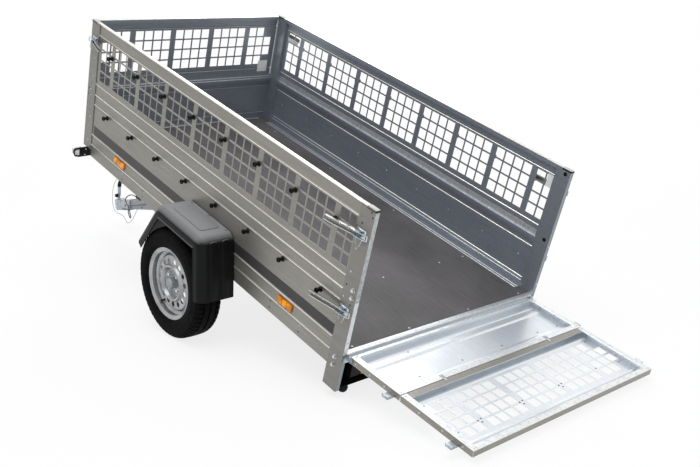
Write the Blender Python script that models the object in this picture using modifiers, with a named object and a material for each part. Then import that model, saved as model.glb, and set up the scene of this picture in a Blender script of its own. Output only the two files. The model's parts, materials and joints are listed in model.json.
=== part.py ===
"""Tipping utility trailer with galvanised side boards and mesh extensions.

The bed is tipped back on its wheels, the tailgate lies open behind it and the
drawbar hangs from its pivot under the floor. Metres, +Z up, +Y forward, +X to
the right. Bed pieces are drawn in the bed's own frame, whose origin is the
rear end of the floor's top face on the centre line.
"""
import math

import bmesh
import bpy
from mathutils import Matrix, Vector

for old in list(bpy.data.objects):
    bpy.data.objects.remove(old, do_unlink=True)

# Clearances: between pieces that touch, between pieces that move, and past a cut face
GAP = 0.0003
MOVE_GAP = 0.005
OVERRUN = 0.010
WELD = 0.001

# Bed
BED_LENGTH = 2.360
BED_HALF = 0.645
WALL_TOP = 0.682
SPLIT_Z = 0.286
SIDE_BOTTOM = -0.090
FRONT_BOARD_RISE = 0.030
SKIRT_BOTTOM = -0.190
FRONT_POST_BOTTOM = -0.052
POST_WIDTH = 0.085
POST_DEPTH = 0.024
POST_WALL = 0.002
CAP_THICK = 0.003
CAP_OVERHANG = 0.003
SHEET = 0.0015
PANEL_INSET = 0.004
RAIL_DEPTH = 0.020
RAIL_LIP = 0.018
FOOT_FLANGE = 0.020
FLOOR_THICK = 0.009
FLOOR_REBATE = 0.001
SILL_DEEP = 0.0222
SILL_PROUD = 0.002
SILL_BOTTOM = -0.045
POST_FACE = BED_HALF - POST_DEPTH
FLOOR_REAR = SILL_DEEP + GAP
FLOOR_HALF = POST_FACE - 2 * GAP
INNER_SHEET = BED_HALF - PANEL_INSET - SHEET

# Pose
TILT = math.radians(15.2)
HUB_Y = 1.085
HUB_Z = -0.228
TYRE_RADIUS = 0.280
ORIGIN_Y = 1.2143

# Ridges pressed into the boards, by height over the floor
RIDGE_HEIGHT = PANEL_INSET
RIDGE_FOOT = 0.006
RIDGE_CREST = 0.002
RIDGE_LOW = -0.017
RIDGE_STRIPE = 0.045
RIDGE_HIGH = 0.227
RIDGE_TIER_LOW = 0.347
RIDGE_TIER_HIGH = 0.624
BOARD_RIDGES = (RIDGE_LOW, RIDGE_STRIPE, RIDGE_HIGH)
MESH_RIDGES = (RIDGE_TIER_LOW, RIDGE_TIER_HIGH)

# Mesh holes
HOLE = 0.052
BAR = 0.009
WIDE_BAR = 0.036
HOLE_BOTTOM = 0.377
ROWS = 4
GROUP = 4
GROUP_SPAN = GROUP * HOLE + (GROUP - 1) * BAR
SIDE_PITCH = GROUP_SPAN + WIDE_BAR
SIDE_FIRST = 0.196
SIDE_GROUPS = 7
HOLE_MARGIN = 0.010
CUT_DEPTH = 0.020
END_HOLE = 0.050
END_BAR = 0.009
END_SPAN = GROUP * END_HOLE + (GROUP - 1) * END_BAR
END_PITCH = END_SPAN + WIDE_BAR

# Floor rails and cross-members
FLOOR_RAIL_TOE = 0.590
FLOOR_RAIL_TOP = 0.030
FLOOR_RAIL_WALL = 0.002
CROSS_TALL = 0.040
CROSS_WIDE = 0.050
CROSS_WALL = 0.003
CROSS_REAR_Y = 0.215
CROSS_AXLE_Y = 0.985
CROSS_FRONT_Y = 2.160
CROSS_TOP = -FLOOR_THICK - GAP
CROSS_BOTTOM = CROSS_TOP - CROSS_TALL
CROSS_HALF = INNER_SHEET - GAP

# Axle
AXLE_Y = 1.245
AXLE_Z = -0.145
AXLE_SIDE = 0.060
AXLE_BEVEL = 0.008
AXLE_WALL = 0.005
AXLE_HALF = 0.598
ARM_THICK = 0.022
ARM_RADIUS_ROOT = 0.042
ARM_RADIUS_HUB = 0.036
SPINDLE_RADIUS = 0.017
SPINDLE_ROOT = 0.004
SPINDLE_END = 0.760
RAIL_X = 0.440
RAIL_SIDE = 0.040
RAIL_REAR = 0.960
RAIL_FRONT = 1.424
SADDLE_HALF_X = 0.045
SADDLE_HALF_Y = 0.055

# Wheels: hub
WHEEL_X = 0.753
DISC_FACE = 0.783
HUB_INNER = 0.632
HUB_RADIUS = 0.046
HUB_BEVEL = 0.010
HUB_FLANGE_RADIUS = 0.066
HUB_FLANGE_THICK = 0.017
HUB_FLANGE_SLOPE = 0.006
HUB_PLAY = 0.0008
HUB_STEPS = 24
RIM_BORE = 0.029
SPIGOT_PLAY = 0.0005
DUST_CAP_END = 0.817
DUST_CAP_ROUND = 0.006
AXIS_HOLE = 0.001

# Wheels: rim and tyre
RIM_HALF = 0.067
RIM_FLANGE_RADIUS = 0.178
RIM_SEAT_RADIUS = 0.1665
RIM_WELL_RADIUS = 0.148
RIM_WALL = 0.004
TYRE_HALF = 0.075
TYRE_STEPS = 24
VENTS = 14
VENT_CIRCLE = 0.121
VENT_RADIUS = 0.0095
VENT_STRETCH = 1.35
VENT_SIDES = 8
RIM_BARREL_SHARES = (
    # across the half width, up from the well to the flange: outer flange to inner flange
    (1.000, 1.000), (0.896, 0.617), (0.567, 0.567), (0.358, 0.000),
    (-0.299, 0.000), (-0.507, 0.567), (-0.896, 0.617), (-1.000, 1.000),
)
RIM_UNDER_SHARES = (
    # across the half width, down from the well's skin: under the barrel, inner side to the disc
    (-0.925, 0.617), (-0.299, 0.000), (0.119, 0.000),
)
RIM_LAND_SHARE = 0.418
DISC_SHARES = (
    # out from the middle plane to the disc's face, radius in well radii: barrel to bore
    (1.333, 0.811), (1.333, 0.676), (1.000, 0.527),
)
TYRE_SKIN_SHARES = (
    # across the half width, up from the bead seat to the tread: outer bead to inner bead
    (0.800, 0.110), (0.933, 0.207), (1.000, 0.454), (0.960, 0.700), (0.840, 0.894), (0.667, 0.974),
    (0.000, 1.000),
    (-0.667, 0.974), (-0.840, 0.894), (-0.960, 0.700), (-1.000, 0.454), (-0.933, 0.207), (-0.800, 0.110),
)
TYRE_LINER_SHARES = (
    # the same, inside the tyre
    (-0.797, 0.0045), (-0.560, -0.0045), (-0.853, 0.339), (-0.800, 0.736),
    (0.800, 0.736), (0.853, 0.339), (0.560, -0.0045), (0.797, 0.0045),
)

# Fenders
FENDER_OUTER = 0.835
FENDER_WALL = 0.004
FENDER_RIM = 0.034
FENDER_REAR = 0.782
FENDER_LENGTH = 0.610
FENDER_FOOT = -0.168
FENDER_HEIGHT = 0.304
FENDER_MOUTH = 0.120
FENDER_ARCH_SHARES = (
    # along its length, up its height: rear foot to front foot
    (0.000, 0.000), (0.103, 0.908), (0.157, 1.000), (0.743, 1.000), (0.797, 0.898), (1.000, 0.141),
)

# Rear lamp board, lamps and buffers
LAMP_REAR = 0.006
LAMP_FRONT = 0.072
LAMP_BOTTOM = -0.184
LAMP_TOP = -0.050
LAMP_WALL = 0.002
LENS_INNER = 0.345
LENS_OUTER = 0.555
LENS_REAR = 0.018
LENS_BOTTOM = -0.165
LENS_TOP = -0.075
LENS_ROUND = 0.006
BUFFER_X = 0.572
BUFFER_Y = 0.028
BUFFER_RADIUS = 0.024

# Front marker lamps
MARKER_INNER = 0.560
MARKER_OUTER = 0.724
MARKER_TALL = 0.060
MARKER_REAR = 2.318
MARKER_THICK = 0.006
MARKER_LENS_INNER = 0.660
MARKER_LENS_OUTER = 0.722
MARKER_LENS_DEEP = 0.028
MARKER_LENS_MARGIN = 0.008
MARKER_SHARES = (
    # across from its inner end, down from its top
    (0.00, 0.00), (0.00, 0.93), (0.79, 1.00), (0.945, 0.90), (1.00, 0.60), (0.976, 0.23), (0.854, 0.06),
    (0.61, 0.00),
)

# Tailgate, pitched up a little as it lies open
GATE_PITCH = math.radians(2.9)
GATE_HALF = 0.610
GATE_PIVOT_Y = -0.020
GATE_PIVOT_Z = -0.022
GATE_DEEP = 0.030
GATE_SHEET = 0.003
GATE_RAIL = 0.030
GATE_NOSE = 0.009
GATE_BEVEL = 0.006
GATE_FOOT = 0.012
GATE_BLOCK = 0.045
GATE_PIN = 0.006
GATE_PIN_REACH = 0.040
HINGE_SIDE_GAP = 0.002
HINGE_PLATE = 0.004
HINGE_FOOT_WIDE = 0.026
HINGE_FOOT_HALF = 0.016
HINGE_ROUND = 0.013
TIER_REACH = 0.3055
TIER_LENGTH = 0.401
TIER_PIN = 0.004
TIER_EYE = 0.008
TIER_EYE_WIDE = 0.014
TIER_EYE_GAP = 0.002
TIER_HINGE_X = 0.350
TIER_HOLE_START = 0.075
CATCH_REACH = 0.042
CATCH_WIDE = 0.030
CATCH_THICK = 0.012
CATCH_BOARD_Y = 0.245
CATCH_TIER_Y = 0.300
TIER_START = MOVE_GAP / 2
GATE_END = TIER_REACH - TIER_START
TIER_DROP = GATE_DEEP / 2 + TIER_EYE + 3 * WELD / 2

# Front mesh panel
FRONT_PIVOT_OUT = 0.006
FRONT_PIVOT_UP = 0.004
FRONT_PIN = 0.004
FRONT_PIN_REACH = 0.030
FRONT_STRAP_IN = 0.0035
FRONT_STRAP_WIDE = 0.0235
FRONT_STRAP_THICK = 0.0037
FRONT_STRAP_HALF = 0.012
FRONT_EAR_THICK = 0.004
FRONT_EAR_REACH = 0.013
FRONT_EAR_HALF = 0.008
FRONT_EYE = 0.0085
FRONT_EYE_WIDE = 0.018
FRONT_EYE_FOOT = 0.006
FRONT_PIVOT_Y = BED_LENGTH + FRONT_PIVOT_OUT
FRONT_PIVOT_Z = SPLIT_Z + FRONT_PIVOT_UP

# Over-centre latches
LATCH_BASE = 0.003
LATCH_BASE_LONG = 0.058
LATCH_BASE_HALF = 0.018
LATCH_EAR_START = 0.030
LATCH_EAR_LONG = 0.020
LATCH_EAR_OUT = 0.024
LATCH_EAR_HALF = 0.013
LEVER_START = 0.034
LEVER_STAND = 0.015
LEVER_TIP_OUT = 0.042
LEVER_THICK = 0.010
LEVER_HALF = 0.011
LEVER_REAR_LONG = 0.215
LEVER_FRONT_LONG = 0.160
LATCH_REAR_HOOK = 0.020
LATCH_FRONT_HOOK = BED_LENGTH - 0.015
LATCH_LOW_Z = 0.199
LATCH_HIGH_Z = 0.562
LATCH_FRONT_Z = 0.585

# Drawbar
PIVOT_Y = 1.400
PIVOT_Z = -0.100
DROP = math.radians(25.4)
TUBE = 0.060
TUBE_WALL = 0.0025
TUBE_REAR = -0.035
PIVOT_PIN = 0.008
PIN_STUB = 0.012
LUG_THICK = 0.006
LUG_X = 0.036
LUG_HALF = 0.022
LUG_DROP = 0.028
LUG_BASE = 0.004
LOCK_DROP = 0.020
BALL_REACH = 1.749
HEAD_LENGTH = 0.200
HEAD_TALL = 0.040
HEAD_HALF = 0.034
HEAD_ROUND = 0.007
HEAD_SHARES = (
    # along in head lengths from the ball's centre, up in head heights
    (-1.000, 0.850), (-0.550, 0.850), (-0.275, 0.650), (-0.150, 0.900), (0.070, 1.000), (0.160, 0.650),
    (0.200, 0.000), (0.190, -0.900), (-0.200, -0.900), (-0.300, -0.750), (-1.000, -0.850),
)
CUP_RADIUS = 0.0255
CUP_DROP = 0.006
CUP_MOUTH = 0.060
HANDLE_RISE = 0.172
HANDLE_THICK = 0.009
HANDLE_HALF = 0.014
HANDLE_SHARES = (
    # along in head lengths from the ball's centre, up its rise
    (0.070, 0.2616), (-0.040, 0.465), (-0.100, 0.785), (-0.260, 1.000),
)

# Electric cable with its plug parked on the tube, and the thin safety cable
CABLE_DIAMETER = 0.007
WIRE_DIAMETER = 0.004
PLUG_RADIUS = 0.021
PLUG_REAR = 1.432
PLUG_FRONT = 1.507
ROUTE_STEPS = 3
CABLE_ROUTE = (
    # x, along the tube, over the tube's centre line
    (-0.0345, 1.150, 0.0100), (-0.0350, 1.300, 0.0060), (-0.0420, 1.360, 0.0040), (-0.0563, 1.4105, 0.0014),
    (-0.0635, 1.4578, 0.0020), (-0.0755, 1.4789, -0.0103), (-0.0853, 1.4878, -0.0355), (-0.0754, 1.4980, -0.0728),
    (-0.0600, 1.5164, -0.0850), (-0.0458, 1.5379, -0.0741), (-0.0417, 1.5543, -0.0380), (-0.0488, 1.5533, -0.0038),
    (-0.0532, 1.5682, 0.0296), (-0.0422, 1.5727, 0.0510), (-0.0234, 1.5650, 0.0641), (-0.0091, 1.5506, 0.0654),
    (-0.0012, 1.5342, 0.0587), (0.0000, 1.5200, 0.0535), (0.0000, 1.5076, 0.0523),
)
WIRE_ROUTE = (
    (0.0170, 1.706, 0.140), (0.0180, 1.740, 0.176), (0.0120, 1.792, 0.166), (0.0060, 1.842, 0.105),
    (0.0000, 1.862, 0.020), (-0.0040, 1.850, -0.030), (-0.0100, 1.810, -0.058), (-0.0200, 1.740, -0.068),
    (-0.0340, 1.660, -0.084), (-0.0480, 1.600, -0.116), (-0.0500, 1.570, -0.122), (-0.0440, 1.540, -0.108),
    (-0.0360, 1.510, -0.078), (-0.0340, 1.480, -0.050), (-0.0335, 1.450, -0.030), (-0.0325, 1.400, -0.018),
)

# How finely round things are drawn
PIN_SIDES = 16
ROUND_SIDES = 24
BALL_SIDES = 16
BALL_RINGS = 8
LINK_STEPS = 8
MERGE = 0.00001
CREASE = math.radians(32)

SIDES = (("left", -1.0), ("right", 1.0))

COLOURS = {
    # name: (red, green, blue), roughness, metallic
    "galvanised_steel": ((0.56, 0.57, 0.58), 0.38, 1.0),
    "zinc_plated_steel": ((0.68, 0.69, 0.71), 0.28, 1.0),
    "film_faced_plywood": ((0.12, 0.105, 0.10), 0.55, 0.0),
    "black_painted_steel": ((0.030, 0.031, 0.033), 0.42, 0.0),
    "black_plastic": ((0.035, 0.036, 0.04), 0.48, 0.0),
    "black_rubber": ((0.022, 0.022, 0.023), 0.78, 0.0),
    "silver_wheel": ((0.58, 0.58, 0.60), 0.36, 0.8),
    "lamp_lens": ((0.55, 0.03, 0.02), 0.20, 0.0),
}


def make_material(name):
    rgb, roughness, metallic = COLOURS[name]
    material = bpy.data.materials.new(name)
    material.use_nodes = True
    shader = material.node_tree.nodes["Principled BSDF"]
    shader.inputs["Base Color"].default_value = (*rgb, 1.0)
    shader.inputs["Roughness"].default_value = roughness
    shader.inputs["Metallic"].default_value = metallic
    return material


MATERIALS = {name: make_material(name) for name in COLOURS}

trailer = bpy.data.collections.new("utility_trailer")
helpers = bpy.data.collections.new("cutters")
bpy.context.scene.collection.children.link(trailer)
bpy.context.scene.collection.children.link(helpers)


def make_empty(name, parent, location, pitch=0.0):
    empty = bpy.data.objects.new(name, None)
    trailer.objects.link(empty)
    empty.parent = parent
    empty.location = location
    empty.rotation_euler = (pitch, 0.0, 0.0)
    return empty


def add_object(name, mesh, material, parent, helper=False):
    obj = bpy.data.objects.new(name, mesh)
    (helpers if helper else trailer).objects.link(obj)
    obj.parent = parent
    if helper:
        obj.hide_render = True
        obj.display_type = "WIRE"
    else:
        mesh.materials.clear()
        mesh.materials.append(MATERIALS[material])
    return obj


def mesh_from(name, bm, smooth=None):
    bmesh.ops.recalc_face_normals(bm, faces=bm.faces)
    mesh = bpy.data.meshes.new(name)
    bm.to_mesh(mesh)
    bm.free()
    if smooth is not None:
        mesh.shade_smooth()
        mesh.set_sharp_from_angle(angle=smooth)
    return mesh


def box_mesh(name, boxes):
    """Boxes as ((low x, high x), (low y, high y), (low z, high z))."""
    bm = bmesh.new()
    for spans in boxes:
        low = Vector([min(span) for span in spans])
        high = Vector([max(span) for span in spans])
        place = Matrix.Translation((low + high) / 2) @ Matrix.Diagonal((*(high - low), 1.0))
        bmesh.ops.create_cube(bm, size=1.0, matrix=place)
    return mesh_from(name, bm)


AXES = {
    # plane: matrix from the drawn outline (across, up, along) to x, y, z
    "YZ": Matrix(((0, 0, 1, 0), (1, 0, 0, 0), (0, 1, 0, 0), (0, 0, 0, 1))),
    "XZ": Matrix(((1, 0, 0, 0), (0, 0, 1, 0), (0, 1, 0, 0), (0, 0, 0, 1))),
    "XY": Matrix.Identity(4),
}


def plate_mesh(name, outlines, plane, low, high):
    """A flat outline, with any inner outlines as holes, extruded low to high."""
    curve = bpy.data.curves.new(name, "CURVE")
    curve.dimensions = "2D"
    curve.fill_mode = "BOTH"
    curve.extrude = abs(high - low) / 2
    for outline in outlines:
        spline = curve.splines.new("POLY")
        spline.points.add(len(outline) - 1)
        for point, (across, up) in zip(spline.points, outline):
            point.co = (across, up, 0.0, 1.0)
        spline.use_cyclic_u = True
    drawn = bpy.data.objects.new(name, curve)
    helpers.objects.link(drawn)
    bpy.context.view_layer.update()
    depsgraph = bpy.context.evaluated_depsgraph_get()
    raw = bpy.data.meshes.new_from_object(drawn.evaluated_get(depsgraph))
    bpy.data.objects.remove(drawn)
    bm = bmesh.new()
    bm.from_mesh(raw)
    bpy.data.meshes.remove(raw)
    bmesh.ops.remove_doubles(bm, verts=bm.verts, dist=MERGE)
    bmesh.ops.translate(bm, verts=bm.verts, vec=(0.0, 0.0, (low + high) / 2))
    bmesh.ops.transform(bm, verts=bm.verts, matrix=AXES[plane])
    return mesh_from(name, bm)


def turned_mesh(name, profile, steps):
    """A closed profile of (x, radius) turned about the X axis."""
    bm = bmesh.new()
    verts = [bm.verts.new((x, 0.0, radius)) for x, radius in profile]
    for first, second in zip(verts, verts[1:] + verts[:1]):
        bm.edges.new((first, second))
    bmesh.ops.spin(bm, geom=bm.verts[:] + bm.edges[:], cent=(0.0, 0.0, 0.0),
                   axis=(1.0, 0.0, 0.0), dvec=(0.0, 0.0, 0.0),
                   angle=2 * math.pi, steps=steps, use_merge=True)
    bmesh.ops.remove_doubles(bm, verts=bm.verts, dist=MERGE)
    return mesh_from(name, bm, CREASE)


def rod_mesh(name, start, end, radius, segments=PIN_SIDES):
    start, end = Vector(start), Vector(end)
    along = end - start
    place = Matrix.Translation((start + end) / 2) @ along.to_track_quat("Z", "Y").to_matrix().to_4x4()
    bm = bmesh.new()
    bmesh.ops.create_cone(bm, cap_ends=True, segments=segments, radius1=radius,
                          radius2=radius, depth=along.length, matrix=place)
    return mesh_from(name, bm, CREASE)


def ball_mesh(name, centre, radius):
    bm = bmesh.new()
    bmesh.ops.create_uvsphere(bm, u_segments=BALL_SIDES, v_segments=BALL_RINGS, radius=radius,
                              matrix=Matrix.Translation(centre))
    return mesh_from(name, bm, CREASE)


def combine(target, meshes, operation, parent):
    """Boolean with helper objects kept in one collection."""
    group = bpy.data.collections.new(target.name + "_" + operation.lower())
    helpers.children.link(group)
    for number, mesh in enumerate(meshes):
        tool = bpy.data.objects.new("%s_%s_%d" % (target.name, operation.lower(), number), mesh)
        group.objects.link(tool)
        tool.parent = parent
        tool.hide_render = True
        tool.display_type = "WIRE"
    modifier = target.modifiers.new(operation.title(), "BOOLEAN")
    modifier.operation = operation
    modifier.operand_type = "COLLECTION"
    modifier.collection = group
    modifier.solver = "EXACT"


def sheet_outline(path, thickness):
    """Closed outline of a bent sheet: the path and its offset to the left."""
    points = [Vector(point) for point in path]
    normals = []
    for first, second in zip(points, points[1:]):
        along = (second - first).normalized()
        normals.append(Vector((-along.y, along.x)))
    inner = []
    for index, point in enumerate(points):
        before = normals[max(index - 1, 0)]
        after = normals[min(index, len(normals) - 1)]
        middle = (before + after).normalized()
        inner.append(point + middle * thickness / middle.dot(after))
    return [tuple(point) for point in points] + [tuple(point) for point in reversed(inner)]


def ridge_points(height):
    return [(PANEL_INSET, height - RIDGE_FOOT), (PANEL_INSET - RIDGE_HEIGHT, height - RIDGE_CREST),
            (PANEL_INSET - RIDGE_HEIGHT, height + RIDGE_CREST), (PANEL_INSET, height + RIDGE_FOOT)]


def board_path(bottom, top, ridges):
    """Bent sheet as (depth in from the outer face, height), bottom to top."""
    path = [(FOOT_FLANGE, bottom), (PANEL_INSET, bottom)]
    for height in ridges:
        path += ridge_points(height)
    path += [(PANEL_INSET, top), (RAIL_DEPTH, top), (RAIL_DEPTH, top - RAIL_LIP)]
    return path


def board_outline(bottom, top, ridges, face, sign):
    """The bent sheet against a face at +-face, its depth running inwards."""
    outline = sheet_outline(board_path(bottom, top, ridges), -SHEET)
    return [(sign * (face - depth), height) for depth, height in outline]


def frame_outline(low, high, wall):
    """A rectangle (low corner, high corner) and the same one moved in by its wall."""
    (x_low, y_low), (x_high, y_high) = low, high
    outer = [(x_low, y_low), (x_high, y_low), (x_high, y_high), (x_low, y_high)]
    inner = [(x_low + wall, y_low + wall), (x_high - wall, y_low + wall),
             (x_high - wall, y_high - wall), (x_low + wall, y_high - wall)]
    return [outer, inner]


def centred(middle, half):
    return (middle - half, middle + half)


def outwards(sign, low, high):
    """A span across one side of the trailer, from its distances to the middle plane."""
    return tuple(sorted((sign * low, sign * high)))


ground = make_empty("trailer_origin", None, (0.0, 0.0, 0.0))
hub_rise = HUB_Y * math.sin(TILT) + HUB_Z * math.cos(TILT)
FLOOR_HEIGHT = TYRE_RADIUS - hub_rise
bed = make_empty("bed_frame", ground, (0.0, -ORIGIN_Y, FLOOR_HEIGHT), TILT)
gate = make_empty("tailgate_axis", bed, (0.0, GATE_PIVOT_Y, GATE_PIVOT_Z), -GATE_PITCH)
tier = make_empty("tailgate_mesh_axis", gate, (0.0, -TIER_REACH, -TIER_DROP))
front = make_empty("front_mesh_axis", bed, (0.0, FRONT_PIVOT_Y, FRONT_PIVOT_Z))
drawbar = make_empty("drawbar_axis", bed, (0.0, PIVOT_Y, PIVOT_Z), -DROP)

# Floor, rebated under the angles that hold its sides, and the sill behind it
floor_front = BED_LENGTH - PANEL_INSET - SHEET - GAP
toe = FLOOR_RAIL_TOE - GAP
add_object("floor", plate_mesh("floor", [[
    (-FLOOR_HALF, -FLOOR_THICK), (FLOOR_HALF, -FLOOR_THICK), (FLOOR_HALF, -FLOOR_REBATE), (toe, -FLOOR_REBATE),
    (toe, 0.0), (-toe, 0.0), (-toe, -FLOOR_REBATE), (-FLOOR_HALF, -FLOOR_REBATE),
]], "XZ", FLOOR_REAR, floor_front), "film_faced_plywood", bed)
add_object("rear_sill", plate_mesh("rear_sill", frame_outline(
    (0.0, SILL_BOTTOM), (SILL_DEEP, SILL_PROUD), POST_WALL), "YZ", -FLOOR_HALF, FLOOR_HALF),
    "galvanised_steel", bed)

side_rear = POST_WIDTH + GAP
side_front = BED_LENGTH - POST_WIDTH - GAP
for side, sign in SIDES:
    seat = GAP - FLOOR_REBATE
    angle = sheet_outline([(FLOOR_RAIL_TOE, seat), (INNER_SHEET - GAP, seat),
                           (INNER_SHEET - GAP, FLOOR_RAIL_TOP)], FLOOR_RAIL_WALL)
    add_object("floor_rail_" + side, plate_mesh("floor_rail_" + side, [
        [(sign * across, up) for across, up in angle]], "XZ", side_rear, side_front), "galvanised_steel", bed)

# Posts: folded tubes with a lid, the rear ones long enough to be skirts
for side, sign in SIDES:
    for end, rear, bottom, over_rear, over_front in (
            ("rear", 0.0, SKIRT_BOTTOM, 0.0, CAP_OVERHANG),
            ("front", BED_LENGTH - POST_WIDTH, FRONT_POST_BOTTOM, CAP_OVERHANG, 0.0)):
        name = "post_%s_%s" % (end, side)
        inner, outer = outwards(sign, POST_FACE, BED_HALF)
        post = add_object(name, plate_mesh(name, frame_outline(
            (inner, rear), (outer, rear + POST_WIDTH), POST_WALL), "XY", bottom, WALL_TOP + CAP_THICK / 2),
            "galvanised_steel", bed)
        lid = box_mesh(name + "_lid", [(outwards(sign, POST_FACE, BED_HALF + CAP_OVERHANG),
                                        (rear - over_rear, rear + POST_WIDTH + over_front),
                                        (WALL_TOP + GAP, WALL_TOP + CAP_THICK))])
        combine(post, [lid], "UNION", bed)


# Lower boards and mesh tiers along the sides
def side_holes():
    """Spans of the mesh columns along the bed, rear to front."""
    spans = []
    for group in range(SIDE_GROUPS + 2):
        front_end = SIDE_FIRST + group * SIDE_PITCH
        columns = GROUP
        if group == 0:
            columns = GROUP // 2
        if group == SIDE_GROUPS + 1:
            columns = GROUP // 2
            front_end -= columns * (HOLE + BAR)
        for column in range(columns):
            high = front_end - column * (HOLE + BAR)
            spans.append((max(high - HOLE, side_rear + HOLE_MARGIN), high))
    return spans


def hole_rows(bottom):
    return [(bottom + row * (HOLE + BAR), bottom + row * (HOLE + BAR) + HOLE) for row in range(ROWS)]


for side, sign in SIDES:
    board = board_outline(SIDE_BOTTOM, SPLIT_Z - GAP, BOARD_RIDGES, BED_HALF, sign)
    add_object("side_board_" + side, plate_mesh("side_board_" + side, [board], "XZ",
               side_rear, side_front), "galvanised_steel", bed)
    wall = board_outline(SPLIT_Z, WALL_TOP, MESH_RIDGES, BED_HALF, sign)
    panel = add_object("side_mesh_" + side, plate_mesh("side_mesh_" + side, [wall], "XZ",
                       side_rear, side_front), "galvanised_steel", bed)
    cut = outwards(sign, BED_HALF - CUT_DEPTH, BED_HALF + OVERRUN)
    holes = box_mesh("side_holes_" + side, [(cut, span, row) for span in side_holes()
                                            for row in hole_rows(HOLE_BOTTOM)])
    combine(panel, [holes], "DIFFERENCE", bed)


def end_holes():
    """Spans (x, height over the lowest hole) of an end wall's mesh, its outer columns on the middle rows only."""
    spans = []
    for group in range(-2, 3):
        first = 1 if group == -2 else 0
        last = GROUP - 1 if group == 2 else GROUP
        for column in range(first, last):
            low = group * END_PITCH - END_SPAN / 2 + column * (END_HOLE + END_BAR)
            outer = (group == -2 and column == first) or (group == 2 and column == last - 1)
            for row, span in enumerate(hole_rows(0.0)):
                if not (outer and row in (0, ROWS - 1)):
                    spans.append(((low, low + END_HOLE), span))
    return spans


# Front wall: its board, and the mesh tier that turns on pins at its foot
add_object("front_board", plate_mesh("front_board", [board_outline(
    SIDE_BOTTOM + FRONT_BOARD_RISE, SPLIT_Z - MOVE_GAP, BOARD_RIDGES, BED_LENGTH, 1.0)],
    "YZ", -(POST_FACE - GAP), POST_FACE - GAP), "galvanised_steel", bed)

tier_half = POST_FACE - MOVE_GAP
front_wall = [(y - FRONT_PIVOT_Y, z - FRONT_PIVOT_Z)
              for y, z in board_outline(SPLIT_Z, WALL_TOP, MESH_RIDGES, BED_LENGTH, 1.0)]
front_mesh = add_object("front_mesh", plate_mesh("front_mesh", [front_wall], "YZ", -tier_half, tier_half),
                        "galvanised_steel", front)
cut = (-FRONT_PIVOT_OUT - CUT_DEPTH, -FRONT_PIVOT_OUT + OVERRUN)
rise = HOLE_BOTTOM - FRONT_PIVOT_Z
combine(front_mesh, [box_mesh("front_mesh_holes", [(across, cut, (low + rise, high + rise))
                                                   for across, (low, high) in end_holes()])],
        "DIFFERENCE", front)
sheet_back = -FRONT_PIVOT_OUT - PANEL_INSET
eye_span = (tier_half - FRONT_PIN, tier_half - FRONT_PIN - FRONT_EYE_WIDE)


def link_outline(first, second, first_radius, second_radius, steps=LINK_STEPS):
    """Outline of a link with round ends, seen along X, as (y, z)."""
    heading = math.atan2(second[1] - first[1], second[0] - first[0])
    outline = []
    for centre, radius, start in ((second, second_radius, heading - math.pi / 2),
                                  (first, first_radius, heading + math.pi / 2)):
        for step in range(steps + 1):
            turn = start + math.pi * step / steps
            outline.append((centre[0] + radius * math.cos(turn), centre[1] + radius * math.sin(turn)))
    return outline


combine(front_mesh, [plate_mesh("front_eye", [link_outline(
    (sheet_back + WELD, FRONT_PIVOT_UP), (0.0, 0.0), FRONT_EYE_FOOT, FRONT_EYE)],
    "YZ", *outwards(sign, *eye_span)) for side, sign in SIDES], "UNION", front)
combine(front_mesh, [rod_mesh("front_bore", (sign * (tier_half - FRONT_PIN_REACH - OVERRUN), 0.0, 0.0),
                              (sign * (tier_half + OVERRUN), 0.0, 0.0), FRONT_PIN + GAP)
                     for side, sign in SIDES], "DIFFERENCE", front)

for side, sign in SIDES:
    name = "front_hinge_" + side
    strap_x = outwards(sign, POST_FACE - FRONT_STRAP_IN, POST_FACE - FRONT_STRAP_IN + FRONT_STRAP_WIDE)
    ear_x = outwards(sign, POST_FACE - FRONT_STRAP_IN, POST_FACE - FRONT_STRAP_IN + FRONT_EAR_THICK)
    strap = add_object(name, box_mesh(name, [(strap_x, (BED_LENGTH + GAP, BED_LENGTH + GAP + FRONT_STRAP_THICK),
                                              centred(FRONT_PIVOT_Z, FRONT_STRAP_HALF))]),
                       "zinc_plated_steel", bed)
    ear = box_mesh(name + "_ear", [(ear_x, (BED_LENGTH + GAP + WELD, BED_LENGTH + FRONT_EAR_REACH),
                                    centred(FRONT_PIVOT_Z, FRONT_EAR_HALF))])
    pin = rod_mesh(name + "_pin", (sign * (POST_FACE - FRONT_STRAP_IN + WELD), FRONT_PIVOT_Y, FRONT_PIVOT_Z),
                   (sign * (POST_FACE - FRONT_PIN_REACH), FRONT_PIVOT_Y, FRONT_PIVOT_Z), FRONT_PIN)
    combine(strap, [ear, pin], "UNION", bed)


# Cross-members under the floor
def channel_outline(centre):
    """A channel open downwards."""
    low, high, half = CROSS_BOTTOM, CROSS_TOP, CROSS_WIDE / 2
    return [(centre - half, low), (centre - half + CROSS_WALL, low),
            (centre - half + CROSS_WALL, high - CROSS_WALL), (centre + half - CROSS_WALL, high - CROSS_WALL),
            (centre + half - CROSS_WALL, low), (centre + half, low), (centre + half, high), (centre - half, high)]


def lug_pair(name, centre, bottom):
    """A base plate across a channel's mouth and the two lugs below it."""
    base = box_mesh(name + "_base", [(centred(0.0, LUG_X + LUG_THICK), centred(centre, CROSS_WIDE / 2),
                                      (CROSS_BOTTOM, CROSS_BOTTOM + LUG_BASE))])
    lugs = [box_mesh(name + "_lug", [(outwards(sign, LUG_X, LUG_X + LUG_THICK), centred(centre, LUG_HALF),
                                      (bottom, CROSS_BOTTOM + LUG_BASE / 2))]) for side, sign in SIDES]
    return [base] + lugs


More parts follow.
